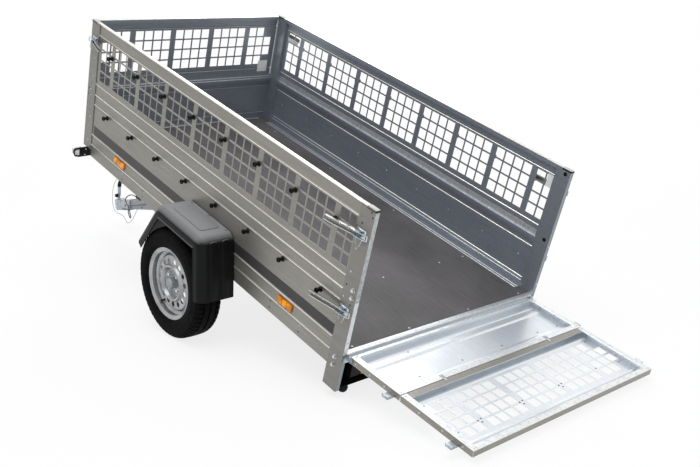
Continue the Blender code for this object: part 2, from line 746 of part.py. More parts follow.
members = {}
for name, centre in (("rear", CROSS_REAR_Y), ("axle", CROSS_AXLE_Y),
                     ("pivot", PIVOT_Y), ("front", CROSS_FRONT_Y)):
    members[name] = add_object("crossmember_" + name, plate_mesh("crossmember_" + name, [
        channel_outline(centre)], "YZ", -CROSS_HALF, CROSS_HALF), "galvanised_steel", bed)
pin_end = LUG_X + PIN_STUB
combine(members["pivot"], lug_pair("pivot", PIVOT_Y, PIVOT_Z - LUG_DROP)
        + [rod_mesh("pivot_pin", (-pin_end, PIVOT_Y, PIVOT_Z), (pin_end, PIVOT_Y, PIVOT_Z),
                    PIVOT_PIN, ROUND_SIDES)], "UNION", bed)
combine(members["front"], lug_pair("lock", CROSS_FRONT_Y, PIVOT_Z - LOCK_DROP), "UNION", bed)

# Axle carriers, tubular beam and trailing arms
rail_top = CROSS_BOTTOM - GAP
rail_z = (rail_top - RAIL_SIDE, rail_top)
for side, sign in SIDES:
    name = "axle_rail_" + side
    rail_x = centred(sign * RAIL_X, RAIL_SIDE / 2)
    rail = add_object(name, plate_mesh(name, frame_outline(
        (rail_x[0], rail_z[0]), (rail_x[1], rail_z[1]), CROSS_WALL), "XZ", RAIL_REAR, RAIL_FRONT),
        "galvanised_steel", bed)
    saddle = box_mesh(name + "_saddle", [(centred(sign * RAIL_X, SADDLE_HALF_X), centred(AXLE_Y, SADDLE_HALF_Y),
                                          (AXLE_Z + AXLE_SIDE / 2 + GAP, rail_z[0] + WELD))])
    combine(rail, [saddle], "UNION", bed)


def bevelled_square(half, bevel):
    """Corners cut off a square about the axle's line, as (y, z)."""
    corners = []
    for across, up in ((-1, -1), (1, -1), (1, 1), (-1, 1)):
        first = (AXLE_Y + across * half, AXLE_Z + up * (half - bevel))
        second = (AXLE_Y + across * (half - bevel), AXLE_Z + up * half)
        corners += [first, second] if across * up > 0 else [second, first]
    return corners


add_object("axle_beam", plate_mesh("axle_beam", [
    bevelled_square(AXLE_SIDE / 2, AXLE_BEVEL), bevelled_square(AXLE_SIDE / 2 - AXLE_WALL, AXLE_BEVEL / 2)],
    "YZ", -AXLE_HALF, AXLE_HALF), "galvanised_steel", bed)

for side, sign in SIDES:
    name = "trailing_arm_" + side
    near, far = AXLE_HALF + GAP, AXLE_HALF + GAP + ARM_THICK
    arm = add_object(name, plate_mesh(name, [link_outline(
        (AXLE_Y, AXLE_Z), (HUB_Y, HUB_Z), ARM_RADIUS_ROOT, ARM_RADIUS_HUB)], "YZ",
        *outwards(sign, near, far)), "galvanised_steel", bed)
    spindle = rod_mesh(name + "_spindle", (sign * (far - SPINDLE_ROOT), HUB_Y, HUB_Z),
                       (sign * SPINDLE_END, HUB_Y, HUB_Z), SPINDLE_RADIUS, ROUND_SIDES)
    combine(arm, [spindle], "UNION", bed)

# Wheels: hub, rim with vents, tyre
bore_end = SPINDLE_END + MOVE_GAP
flange_rear = DISC_FACE - HUB_FLANGE_THICK
spigot = RIM_BORE - SPIGOT_PLAY
hub_profile = [
    (HUB_INNER, HUB_RADIUS - HUB_BEVEL), (HUB_INNER + HUB_BEVEL, HUB_RADIUS),
    (flange_rear - HUB_FLANGE_SLOPE, HUB_RADIUS), (flange_rear, HUB_FLANGE_RADIUS),
    (DISC_FACE - GAP, HUB_FLANGE_RADIUS), (DISC_FACE - GAP, spigot),
    (DUST_CAP_END - DUST_CAP_ROUND, spigot - WELD), (DUST_CAP_END, spigot - DUST_CAP_ROUND),
    (DUST_CAP_END, AXIS_HOLE), (bore_end, AXIS_HOLE),
    (bore_end, SPINDLE_RADIUS + HUB_PLAY), (HUB_INNER, SPINDLE_RADIUS + HUB_PLAY),
]
well = RIM_WELL_RADIUS
lip = RIM_FLANGE_RADIUS - well
disc_out = DISC_FACE - WHEEL_X
disc_face = [(disc_out * across, well * share) for across, share in DISC_SHARES] + [(disc_out, RIM_BORE)]
rim_profile = [(RIM_HALF * across, well + lip * up) for across, up in RIM_BARREL_SHARES]
rim_profile += [(RIM_HALF * across, well - RIM_WALL + lip * up) for across, up in RIM_UNDER_SHARES]
rim_profile += disc_face
rim_profile += [(across + RIM_WALL, radius) for across, radius in reversed(disc_face)]
rim_profile += [(RIM_HALF * RIM_LAND_SHARE, well - RIM_WALL),
                (-RIM_HALF * RIM_UNDER_SHARES[0][0], well - RIM_WALL + lip * RIM_UNDER_SHARES[0][1])]
tread = TYRE_RADIUS - RIM_SEAT_RADIUS
tyre_profile = [(TYRE_HALF * across, RIM_SEAT_RADIUS + tread * up)
                for across, up in TYRE_SKIN_SHARES + TYRE_LINER_SHARES]

for side, sign in SIDES:
    axle_end = make_empty("wheel_axis_" + side, bed, (0.0, HUB_Y, HUB_Z), -TILT)
    add_object("hub_" + side, turned_mesh("hub_" + side, [(sign * x, r) for x, r in hub_profile], HUB_STEPS),
               "zinc_plated_steel", axle_end)
    rim = add_object("rim_" + side, turned_mesh(
        "rim_" + side, [(sign * (WHEEL_X + x), r) for x, r in rim_profile], TYRE_STEPS), "silver_wheel", axle_end)
    vents = []
    for number in range(VENTS):
        turn = 2 * math.pi * number / VENTS
        along = Vector((0.0, math.cos(turn), math.sin(turn)))
        bm = bmesh.new()
        bmesh.ops.create_cone(bm, cap_ends=True, segments=VENT_SIDES, radius1=VENT_RADIUS,
                              radius2=VENT_RADIUS, depth=RIM_HALF)
        place = (Matrix.Translation(along * VENT_CIRCLE + Vector((sign * (DISC_FACE + RIM_WALL), 0.0, 0.0)))
                 @ Matrix.Rotation(turn, 4, "X") @ Matrix.Rotation(math.pi / 2, 4, "Y")
                 @ Matrix.Diagonal((1.0, VENT_STRETCH, 1.0, 1.0)))
        bmesh.ops.transform(bm, verts=bm.verts, matrix=place)
        vents.append(mesh_from("vent", bm))
    combine(rim, vents, "DIFFERENCE", axle_end)
    add_object("tyre_" + side, turned_mesh("tyre_" + side, [(sign * (WHEEL_X + x), r) for x, r in tyre_profile],
                                           TYRE_STEPS), "black_rubber", axle_end)


# Fenders: a faceted arch with an outer rim, open to the wheel and to the bed's side
def arch_inset(inset, foot_drop):
    """The arch moved inwards, with its feet run out below."""
    path = [Vector((FENDER_REAR + FENDER_LENGTH * along, FENDER_FOOT + FENDER_HEIGHT * up))
            for along, up in FENDER_ARCH_SHARES]
    moved = []
    for index, point in enumerate(path):
        before = path[max(index - 1, 0)]
        after = path[min(index + 1, len(path) - 1)]
        first = (point - before) if index else (after - point)
        second = (after - point) if index < len(path) - 1 else first
        first_normal = Vector((first.y, -first.x)).normalized()
        second_normal = Vector((second.y, -second.x)).normalized()
        middle = (first_normal + second_normal).normalized()
        moved.append(point + middle * inset / middle.dot(second_normal))
    if foot_drop:
        moved[0] = moved[0] + (moved[0] - moved[1]).normalized() * foot_drop
        moved[-1] = moved[-1] + (moved[-1] - moved[-2]).normalized() * foot_drop
    return [tuple(point) for point in moved]


for side, sign in SIDES:
    name = "fender_" + side
    near = BED_HALF + GAP
    fender = add_object(name, plate_mesh(name, [arch_inset(0.0, 0.0)], "YZ",
                                         *outwards(sign, near, FENDER_OUTER)), "black_plastic", bed)
    hollow = plate_mesh(name + "_hollow", [arch_inset(FENDER_WALL, FENDER_MOUTH)], "YZ",
                        *outwards(sign, near - OVERRUN, FENDER_OUTER - FENDER_WALL))
    mouth = plate_mesh(name + "_mouth", [arch_inset(FENDER_RIM, FENDER_MOUTH)], "YZ",
                       *outwards(sign, near - OVERRUN, FENDER_OUTER + OVERRUN))
    combine(fender, [hollow, mouth], "DIFFERENCE", bed)

# Rear lamp board between the skirts, its lamps and the rubber buffers
lamp_path = sheet_outline([(LAMP_REAR, LAMP_BOTTOM), (LAMP_FRONT, LAMP_BOTTOM),
                           (LAMP_FRONT, LAMP_TOP), (LAMP_REAR, LAMP_TOP)], LAMP_WALL)
add_object("lamp_board", plate_mesh("lamp_board", [lamp_path], "YZ", -(POST_FACE - GAP), POST_FACE - GAP),
           "black_painted_steel", bed)
for side, sign in SIDES:
    name = "rear_lamp_" + side
    lamp = add_object(name, box_mesh(name, [(outwards(sign, LENS_INNER, LENS_OUTER),
                                             (LENS_REAR, LAMP_FRONT - LAMP_WALL - GAP), (LENS_BOTTOM, LENS_TOP))]),
                      "lamp_lens", bed)
    soften = lamp.modifiers.new("Edge", "BEVEL")
    soften.width = LENS_ROUND
    soften.segments = 2
    name = "buffer_" + side
    centre_z = (BUFFER_RADIUS - FLOOR_HEIGHT - BUFFER_Y * math.sin(TILT)) / math.cos(TILT)
    ball = add_object(name, ball_mesh(name, (sign * BUFFER_X, BUFFER_Y, centre_z), BUFFER_RADIUS),
                      "black_rubber", bed)
    trim_half = BUFFER_RADIUS + OVERRUN
    trim = box_mesh(name + "_seat", [(centred(sign * BUFFER_X, trim_half), centred(BUFFER_Y, trim_half),
                                      (LAMP_BOTTOM - GAP, LAMP_BOTTOM + trim_half))])
    combine(ball, [trim], "DIFFERENCE", bed)

# Front marker lamps on their holders at the front corners
for side, sign in SIDES:
    name = "marker_holder_" + side
    top = FRONT_POST_BOTTOM - GAP
    outline = [(sign * (MARKER_INNER + (MARKER_OUTER - MARKER_INNER) * across), top - MARKER_TALL * down)
               for across, down in MARKER_SHARES]
    holder = add_object(name, plate_mesh(name, [outline], "XZ", MARKER_REAR, MARKER_REAR + MARKER_THICK),
                        "black_plastic", bed)
    face = MARKER_REAR + MARKER_THICK
    lens = box_mesh(name + "_lens", [(outwards(sign, MARKER_LENS_INNER, MARKER_LENS_OUTER),
                                      (face - WELD, face + MARKER_LENS_DEEP),
                                      (top - MARKER_TALL + MARKER_LENS_MARGIN, top - MARKER_LENS_MARGIN))])
    combine(holder, [lens], "UNION", bed)

# Tailgate board: a folded pan with lips, on two pins at its foot
low, high = -GATE_DEEP / 2, GATE_DEEP / 2
nose = GATE_NOSE - GATE_BEVEL
board = add_object("tailgate_board", plate_mesh("tailgate_board", [[
    (-GATE_END, low), (nose, low), (GATE_NOSE, low + GATE_BEVEL), (GATE_NOSE, high - GATE_BEVEL),
    (nose, high), (-GATE_END, high)]], "YZ", -GATE_HALF, GATE_HALF), "galvanised_steel", gate)
hollow_z = (low + GATE_SHEET, high - GATE_SHEET)
mouth_z = (low + GATE_SHEET, high + OVERRUN)
wall_x, lip_x = GATE_HALF - GATE_SHEET, GATE_HALF - GATE_RAIL
board_cuts = [
    box_mesh("board_hollow", [(centred(0.0, wall_x), (-GATE_END + GATE_SHEET, -GATE_FOOT), hollow_z)]),
    box_mesh("board_foot_hollow", [(centred(0.0, GATE_HALF - GATE_BLOCK), (-GATE_FOOT - WELD, nose), hollow_z)]),
    box_mesh("board_mouth", [(centred(0.0, lip_x), (-GATE_END + GATE_RAIL, -GATE_FOOT), mouth_z)]),
]
combine(board, board_cuts, "DIFFERENCE", gate)
catch_x = (GATE_HALF - WELD, GATE_HALF + CATCH_REACH)
eye_x = (TIER_HINGE_X - TIER_EYE_WIDE / 2, TIER_HINGE_X + TIER_EYE_WIDE / 2)
lug_x = (eye_x[1] + TIER_EYE_GAP, eye_x[1] + TIER_EYE_GAP + TIER_EYE_WIDE)
additions = []
for side, sign in SIDES:
    additions.append(box_mesh("gate_catch", [(outwards(sign, *catch_x),
                                              (-CATCH_BOARD_Y - CATCH_WIDE, -CATCH_BOARD_Y), (low, low + CATCH_THICK))]))
    additions.append(plate_mesh("gate_lug", [link_outline(
        (-TIER_REACH, -TIER_DROP), (-GATE_END + TIER_EYE + WELD, low - TIER_EYE / 2), TIER_EYE, TIER_EYE)],
        "YZ", *outwards(sign, *lug_x)))
    additions.append(rod_mesh("tier_pin", (sign * (eye_x[0] - WELD), -TIER_REACH, -TIER_DROP),
                              (sign * (lug_x[1] - WELD), -TIER_REACH, -TIER_DROP), TIER_PIN))
combine(board, additions, "UNION", gate)
combine(board, [rod_mesh("gate_bore", (sign * (GATE_HALF - GATE_PIN_REACH - MOVE_GAP / 2), 0.0, 0.0),
                         (sign * (GATE_HALF + OVERRUN), 0.0, 0.0), GATE_PIN + GAP, ROUND_SIDES)
                for side, sign in SIDES], "DIFFERENCE", gate)

# Tailgate mesh tier, from its own pins towards -Y
tier_low = TIER_DROP - GATE_DEEP / 2
tier_high = tier_low + GATE_DEEP
tier_far = -TIER_START - TIER_LENGTH
panel = add_object("tailgate_mesh", box_mesh("tailgate_mesh", [(
    centred(0.0, GATE_HALF), (tier_far, -TIER_START), (tier_low, tier_high))]), "galvanised_steel", tier)
tier_cuts = [
    box_mesh("tier_hollow", [(centred(0.0, wall_x), (tier_far + GATE_SHEET, -TIER_START - GATE_SHEET),
                              (tier_low + GATE_SHEET, tier_high - GATE_SHEET))]),
    box_mesh("tier_mouth", [(centred(0.0, lip_x), (tier_far + GATE_RAIL, -TIER_START - GATE_RAIL),
                             (tier_low + GATE_SHEET, tier_high + OVERRUN))]),
    box_mesh("tier_holes", [(across, (-TIER_HOLE_START - far, -TIER_HOLE_START - near),
                             (tier_low - OVERRUN, tier_low + GATE_SHEET + WELD))
                            for across, (near, far) in end_holes()]),
]
combine(panel, tier_cuts, "DIFFERENCE", tier)
tier_adds = []
for side, sign in SIDES:
    tier_adds.append(plate_mesh("tier_eye", [link_outline(
        (0.0, 0.0), (-TIER_START - TIER_EYE - WELD, tier_low - TIER_EYE / 2), TIER_EYE, TIER_EYE)],
        "YZ", *outwards(sign, *eye_x)))
    tier_adds.append(box_mesh("tier_catch", [(outwards(sign, *catch_x),
                                              (-CATCH_TIER_Y - CATCH_WIDE, -CATCH_TIER_Y),
                                              (tier_low, tier_low + CATCH_THICK))]))
combine(panel, tier_adds, "UNION", tier)
combine(panel, [rod_mesh("tier_bore", (sign * (eye_x[0] - OVERRUN), 0.0, 0.0),
                         (sign * (eye_x[1] + TIER_EYE_GAP), 0.0, 0.0), TIER_PIN + GAP)
                for side, sign in SIDES], "DIFFERENCE", tier)

# Tailgate hinge plates on the rear posts, each with the pin that the gate turns on
for side, sign in SIDES:
    name = "gate_hinge_" + side
    plate_near = GATE_HALF + HINGE_SIDE_GAP
    hinge = add_object(name, plate_mesh(name, [link_outline(
        (-HINGE_PLATE - GAP, GATE_PIVOT_Z), (GATE_PIVOT_Y, GATE_PIVOT_Z), HINGE_PLATE, HINGE_ROUND)],
        "YZ", *outwards(sign, plate_near, plate_near + HINGE_PLATE)), "zinc_plated_steel", bed)
    foot = box_mesh(name + "_foot", [(outwards(sign, plate_near, plate_near + HINGE_FOOT_WIDE),
                                      (-HINGE_PLATE - GAP, -GAP), centred(GATE_PIVOT_Z, HINGE_FOOT_HALF))])
    pin = rod_mesh(name + "_pin", (sign * (plate_near + HINGE_PLATE - WELD), GATE_PIVOT_Y, GATE_PIVOT_Z),
                   (sign * (GATE_HALF - GATE_PIN_REACH), GATE_PIVOT_Y, GATE_PIVOT_Z), GATE_PIN, ROUND_SIDES)
    combine(hinge, [foot, pin], "UNION", bed)

# Over-centre latches on the bed's sides, their levers folded along the walls
for name, hook_y, height, heading, length in (
        ("rear_upper", LATCH_REAR_HOOK, LATCH_HIGH_Z, 1.0, LEVER_REAR_LONG),
        ("rear_lower", LATCH_REAR_HOOK, LATCH_LOW_Z, 1.0, LEVER_REAR_LONG),
        ("front_upper", LATCH_FRONT_HOOK, LATCH_FRONT_Z, -1.0, LEVER_FRONT_LONG)):
    for side, sign in SIDES:
        label = "latch_%s_%s" % (name, side)
        face = BED_HALF + GAP
        base = add_object(label, box_mesh(label, [(outwards(sign, face, face + LATCH_BASE),
                                                   (hook_y, hook_y + heading * LATCH_BASE_LONG),
                                                   centred(height, LATCH_BASE_HALF))]), "zinc_plated_steel", bed)
        ear_y = hook_y + heading * LATCH_EAR_START
        ears = box_mesh(label + "_ears", [(outwards(sign, face + WELD, face + LATCH_EAR_OUT),
                                           (ear_y, ear_y + heading * LATCH_EAR_LONG),
                                           centred(height, LATCH_EAR_HALF))])
        lever_path = [(face + LEVER_STAND, hook_y + heading * LEVER_START),
                      (face + LEVER_TIP_OUT, hook_y + heading * length)]
        lever = plate_mesh(label + "_lever", [sheet_outline(
            [(sign * out, along) for out, along in lever_path], sign * heading * LEVER_THICK)],
            "XY", *centred(height, LEVER_HALF))
        combine(base, [ears, lever], "UNION", bed)

# Drawbar: square tube on its pin, coupling head and handle
half = TUBE / 2
tube_obj = add_object("drawbar_tube", plate_mesh("drawbar_tube", frame_outline(
    (-half, -half), (half, half), TUBE_WALL), "XZ", TUBE_REAR, BALL_REACH - HEAD_LENGTH - GAP),
    "galvanised_steel", drawbar)
combine(tube_obj, [rod_mesh("drawbar_bore", (-pin_end, 0.0, 0.0), (pin_end, 0.0, 0.0), PIVOT_PIN + GAP,
                            ROUND_SIDES)], "DIFFERENCE", drawbar)

head = add_object("coupling_head", plate_mesh("coupling_head", [
    [(BALL_REACH + HEAD_LENGTH * along, HEAD_TALL * up) for along, up in HEAD_SHARES]],
    "YZ", -HEAD_HALF, HEAD_HALF), "zinc_plated_steel", drawbar)
soften = head.modifiers.new("Edge", "BEVEL")
soften.width = HEAD_ROUND
soften.segments = 2
soften.limit_method = "ANGLE"
combine(head, [ball_mesh("ball_cup", (0.0, BALL_REACH, -CUP_DROP), CUP_RADIUS),
               rod_mesh("ball_mouth", (0.0, BALL_REACH, -CUP_DROP - WELD), (0.0, BALL_REACH, -CUP_MOUTH),
                        CUP_RADIUS, ROUND_SIDES)], "DIFFERENCE", drawbar)
handle_path = sheet_outline([(BALL_REACH + HEAD_LENGTH * along, HANDLE_RISE * up)
                             for along, up in HANDLE_SHARES], HANDLE_THICK)
add_object("coupling_handle", plate_mesh("coupling_handle", [handle_path], "YZ", -HANDLE_HALF, HANDLE_HALF),
           "zinc_plated_steel", drawbar)


def smooth_route(points, steps):
    """Points along a Catmull-Rom curve through the route."""
    route = [Vector(point) for point in points]
    ends = [2 * route[0] - route[1]] + route + [2 * route[-1] - route[-2]]
    dense = []
    for index in range(1, len(ends) - 2):
        before, start, finish, after = ends[index - 1:index + 3]
        for step in range(steps):
            t = step / steps
            dense.append(0.5 * (2 * start + (finish - before) * t
                                + (2 * before - 5 * start + 4 * finish - after) * t ** 2
                                + (3 * start - before - 3 * finish + after) * t ** 3))
    return dense + [route[-1]]


for name, route, diameter, material in (("electric_cable", CABLE_ROUTE, CABLE_DIAMETER, "black_rubber"),
                                        ("safety_cable", WIRE_ROUTE, WIRE_DIAMETER, "zinc_plated_steel")):
    curve = bpy.data.curves.new(name, "CURVE")
    curve.dimensions = "3D"
    curve.bevel_depth = diameter / 2
    curve.bevel_resolution = 2
    curve.use_fill_caps = True
    spline = curve.splines.new("POLY")
    dense = smooth_route(route, ROUTE_STEPS)
    spline.points.add(len(dense) - 1)
    for point, place in zip(spline.points, dense):
        point.co = (*place, 1.0)
    cord = bpy.data.objects.new(name, curve)
    trailer.objects.link(cord)
    cord.parent = drawbar
    curve.materials.append(MATERIALS[material])

plug_z = TUBE / 2 + GAP + PLUG_RADIUS
add_object("plug", rod_mesh("plug", (0.0, PLUG_REAR, plug_z), (0.0, PLUG_FRONT, plug_z), PLUG_RADIUS,
                            ROUND_SIDES), "black_plastic", drawbar)
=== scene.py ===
"""Render model of the tipping utility trailer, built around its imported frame.

The finishes, the camera and the stage come first, then the two cords and the
pieces that dress the frame: coupling, wheels, fenders, folds, stripes, rope
hooks, latches, posts, floor, tailgate, front wall, lamps and running gear. The
frame's own nodes get their finishes last. Measures are in metres, but for the
tables inside mm(), which are in millimetres.
"""

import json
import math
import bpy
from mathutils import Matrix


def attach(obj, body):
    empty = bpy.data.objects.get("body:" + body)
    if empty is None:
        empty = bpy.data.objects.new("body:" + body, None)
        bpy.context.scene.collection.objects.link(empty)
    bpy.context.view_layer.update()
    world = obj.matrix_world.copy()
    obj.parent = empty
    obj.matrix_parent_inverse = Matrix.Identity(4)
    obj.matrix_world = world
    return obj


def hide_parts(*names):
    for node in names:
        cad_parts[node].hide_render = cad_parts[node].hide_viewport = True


bl_info = {
    "name": "Utility trailer dressing",
    "version": (1, 0, 0),
    "blender": (4, 5, 0),
    "location": "View3D > Sidebar > Trailer",
    "description": "Builds the finishes and fittings of a tipping utility trailer around its packed frame",
    "category": "Object",
}

import bmesh
import bpy
from mathutils import Matrix, Vector

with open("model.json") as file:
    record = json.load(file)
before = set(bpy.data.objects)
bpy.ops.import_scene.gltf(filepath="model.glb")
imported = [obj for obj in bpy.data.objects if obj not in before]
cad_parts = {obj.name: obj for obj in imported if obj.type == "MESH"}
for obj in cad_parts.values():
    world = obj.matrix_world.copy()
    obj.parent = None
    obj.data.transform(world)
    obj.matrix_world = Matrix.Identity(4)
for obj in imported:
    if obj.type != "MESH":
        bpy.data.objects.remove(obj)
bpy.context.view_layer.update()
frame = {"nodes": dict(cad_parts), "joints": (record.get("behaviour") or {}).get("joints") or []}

# Places of the frame's bodies. Bed pieces are drawn in the bed's own frame, whose
# origin is the rear end of the floor's top face on the middle line.
JOINTS = {joint["name"]: Vector(joint["pos_m"]) for joint in frame["joints"]}
TILT = math.radians(15.2)
GATE_PITCH = math.radians(2.9)
DROP = math.radians(25.4)
HUB_IN_BED = Vector((0.0, 1.085, -0.228))
HUB = Vector((0.0, JOINTS["wheel_left_spin"].y, JOINTS["wheel_left_spin"].z))
SIDES = (("left", -1.0), ("right", 1.0))
SIGNS = (-1.0, 1.0)


def moved(x, y, z):
    """A place moved from the origin."""
    return Matrix.Translation((x, y, z))


def mm(points):
    """Points given in millimetres, in metres."""
    return [tuple(part / 1000 for part in point) for point in points]


def placed(joint, pitch):
    """The place of a body whose own frame starts at a joint, pitched about the x axis."""
    point = JOINTS[joint]
    return moved(0.0, point.y, point.z) @ Matrix.Rotation(pitch, 4, "X")


BED = placed("wheel_left_spin", TILT) @ Matrix.Translation(-HUB_IN_BED)
GATE = placed("tailgate_hinge", TILT - GATE_PITCH)
TIER = GATE @ moved(0.0, -0.3055, -0.0245)
FRONT = placed("front_mesh_hinge", TILT)
BAR = placed("drawbar_hinge", TILT - DROP)

# Sizes of the frame that the pieces sit on, in metres
BED_LENGTH = 2.36
BED_HALF = 0.645
WALL_TOP = 0.682
SPLIT_Z = 0.286
POST_WIDTH = 0.085
POST_DEPTH = 0.024
FOLD_DEPTH = 0.02
LID_LENGTH = 0.05
POST_FACE = BED_HALF - POST_DEPTH
SHEET = 0.0015
SKIN = BED_HALF - 0.004
INNER = SKIN - SHEET
RIDGES = (-0.017, 0.045, 0.227, 0.347, 0.624)
WHEEL_X = 0.753
TUBE = 0.06
BALL_REACH = 1.749
HEAD_LENGTH = 0.2
GATE_HALF = 0.61
GATE_DEEP = 0.03
GATE_INNER = GATE_HALF - GATE_DEEP
GATE_SHEET = 0.003
GATE_END = 0.303
TIER_LENGTH = 0.401
TIER_START = 0.0025
TIER_LOW = 0.0095
PROUD = 0.0004


WHITE = (1.0, 1.0, 1.0, 1.0)


def linear(code):
    """An sRGB hex colour as linear red, green, blue and alpha."""
    shares = [int(code[at:at + 2], 16) / 255 for at in (1, 3, 5)]
    return tuple(s / 12.92 if s <= 0.04045 else ((s + 0.055) / 1.055) ** 2.4 for s in shares) + (1.0,)


def as_linear(colour):
    """A colour given as hex, as linear; any other value as it is."""
    return linear(colour) if isinstance(colour, str) else colour


def shaded(colour, share):
    """A linear colour brought down to a share of its light."""
    return tuple(part * share for part in colour[:3]) + (1.0,)


def node(tree, kind, inputs=None, stops=None, into=None, **settings):
    """Adds a shader node with its settings, sets or links its inputs, and may link its first output."""
    made = tree.nodes.new(kind)
    for key, value in settings.items():
        setattr(made, key, value)
    for key, value in (inputs or {}).items():
        socket = made.inputs[key]
        if isinstance(value, bpy.types.NodeSocket):
            tree.links.new(value, socket)
        else:
            socket.default_value = value
    if stops:
        elements = made.color_ramp.elements
        while len(elements) < len(stops):
            elements.new(0.5)
        for element, (place, colour) in zip(elements, stops):
            element.position = place
            element.color = as_linear(colour)
    if into is not None:
        tree.links.new(made.outputs[0], into)
    return made


def surface(name, **values):
    """A material with one Principled BSDF, and the values on its own sockets."""
    material = bpy.data.materials.new(name)
    material.use_nodes = True
    tree = material.node_tree
    shader = tree.nodes["Principled BSDF"]
    for key, value in values.items():
        shader.inputs[key.replace("_", " ")].default_value = as_linear(value)
    material.diffuse_color = shader.inputs["Base Color"].default_value[:]
    return material, tree, shader


def seen_by_eye(tree):
    """1 for rays from the camera, a mirror or glass, and 0 for the light that falls on things."""
    rays = node(tree, "ShaderNodeLightPath").outputs
    seen = node(tree, "ShaderNodeMath", {0: rays["Is Camera Ray"], 1: rays["Is Glossy Ray"]},
                operation="MAXIMUM")
    return node(tree, "ShaderNodeMath", {0: seen.outputs[0], 1: rays["Is Transmission Ray"]},
                operation="MAXIMUM").outputs[0]


def along_bed(tree, stretch=(1.0, 1.0, 1.0)):
    """Object coordinates turned to lie along the tipped bed, in metres, stretched on each axis."""
    place = node(tree, "ShaderNodeTexCoord").outputs["Object"]
    turned = node(tree, "ShaderNodeMapping", {"Vector": place, "Rotation": (-TILT, 0.0, 0.0)})
    return node(tree, "ShaderNodeMapping", {"Vector": turned.outputs[0], "Scale": stretch}).outputs[0]


# Materials. Each is named for what the real one is and how it was made.

def zinc_sheet(name, colour, dark, roughness, metallic, spangle_mm=9.0, inner=None):
    """Hot-dip galvanised steel sheet, skin-passed: satin metal, with a faint spangle and rolling streaks.

    Boards and posts have another tone, given as inner, on the faces that look into the bed: a cooler
    blue-grey, a painted tint of the shade there.
    """
    material, tree, shader = surface(name, Base_Color=colour, Metallic=metallic, Roughness=roughness)
    place = along_bed(tree)
    spangle = node(tree, "ShaderNodeTexVoronoi",
                   {"Vector": place, "Scale": 1000.0 / spangle_mm, "Randomness": 1.0})
    streaks = node(tree, "ShaderNodeTexNoise",
                   {"Vector": along_bed(tree, (1.0, 0.05, 1.0)), "Scale": 70.0, "Detail": 5.0,
                    "Roughness": 0.6})
    clouds = node(tree, "ShaderNodeTexNoise", {"Vector": place, "Scale": 2.2, "Detail": 3.0})
    blend = node(tree, "ShaderNodeMath", {0: spangle.outputs["Color"], 1: 0.16}, operation="MULTIPLY")
    mixed = node(tree, "ShaderNodeMath", {0: streaks.outputs[0], 1: 0.50, 2: blend.outputs[0]},
                 operation="MULTIPLY_ADD")
    whole = node(tree, "ShaderNodeMath", {0: clouds.outputs[0], 1: 0.55, 2: mixed.outputs[0]},
                 operation="MULTIPLY_ADD")
    tone = node(tree, "ShaderNodeValToRGB", {"Fac": whole.outputs[0]},
                stops=((0.30, dark), (0.85, colour))).outputs[0]
    # Painted shade tint: the faces that look into the bed take the cooler inner tone
    if inner:
        inner_shade_tint = node(tree, "ShaderNodeValToRGB", {"Fac": whole.outputs[0]},
                    stops=((0.30, inner[1]), (0.85, inner[0])))
        held = node(tree, "ShaderNodeTexCoord").outputs["Object"]
        across = node(tree, "ShaderNodeSeparateXYZ", {0: held}).outputs[0]
        across = node(tree, "ShaderNodeMath", {0: across}, operation="ABSOLUTE").outputs[0]
        outside = node(tree, "ShaderNodeMapRange",
                       {"Value": across, "From Min": INNER + 0.0002, "From Max": INNER + 0.0006}).outputs[0]
        tone = node(tree, "ShaderNodeMix", {0: outside, 6: inner_shade_tint.outputs[0], 7: tone},
                    data_type="RGBA").outputs[2]
    tree.links.new(tone, shader.inputs["Base Color"])
    node(tree, "ShaderNodeMapRange",
         {"Value": whole.outputs[0], "From Min": 0.3, "From Max": 0.9, "To Min": roughness + 0.05,
          "To Max": roughness - 0.04}, into=shader.inputs["Roughness"])
    node(tree, "ShaderNodeBump", {"Height": streaks.outputs[0], "Distance": 0.0002, "Strength": 0.12},
         into=shader.inputs["Normal"])
    return material


def zinc_plated(name, colour="#B9C0C6", dark="#8C949B", roughness=0.30):
    """Bright zinc-plated pressed steel: bluish, glossier than the sheet, a little cloudy."""
    material, tree, shader = surface(name, Base_Color=colour, Metallic=0.85, Roughness=roughness)
    place = node(tree, "ShaderNodeTexCoord").outputs["Object"]
    cloud = node(tree, "ShaderNodeTexNoise", {"Vector": place, "Scale": 60.0, "Detail": 4.0})
    node(tree, "ShaderNodeValToRGB", {"Fac": cloud.outputs[0]}, stops=((0.32, dark), (0.62, colour)),
         into=shader.inputs["Base Color"])
    node(tree, "ShaderNodeMapRange",
         {"Value": cloud.outputs[0], "To Min": roughness + 0.10, "To Max": roughness - 0.06},
         into=shader.inputs["Roughness"])
    node(tree, "ShaderNodeBump", {"Height": cloud.outputs[0], "Distance": 0.0002, "Strength": 0.10},
         into=shader.inputs["Normal"])
    return material


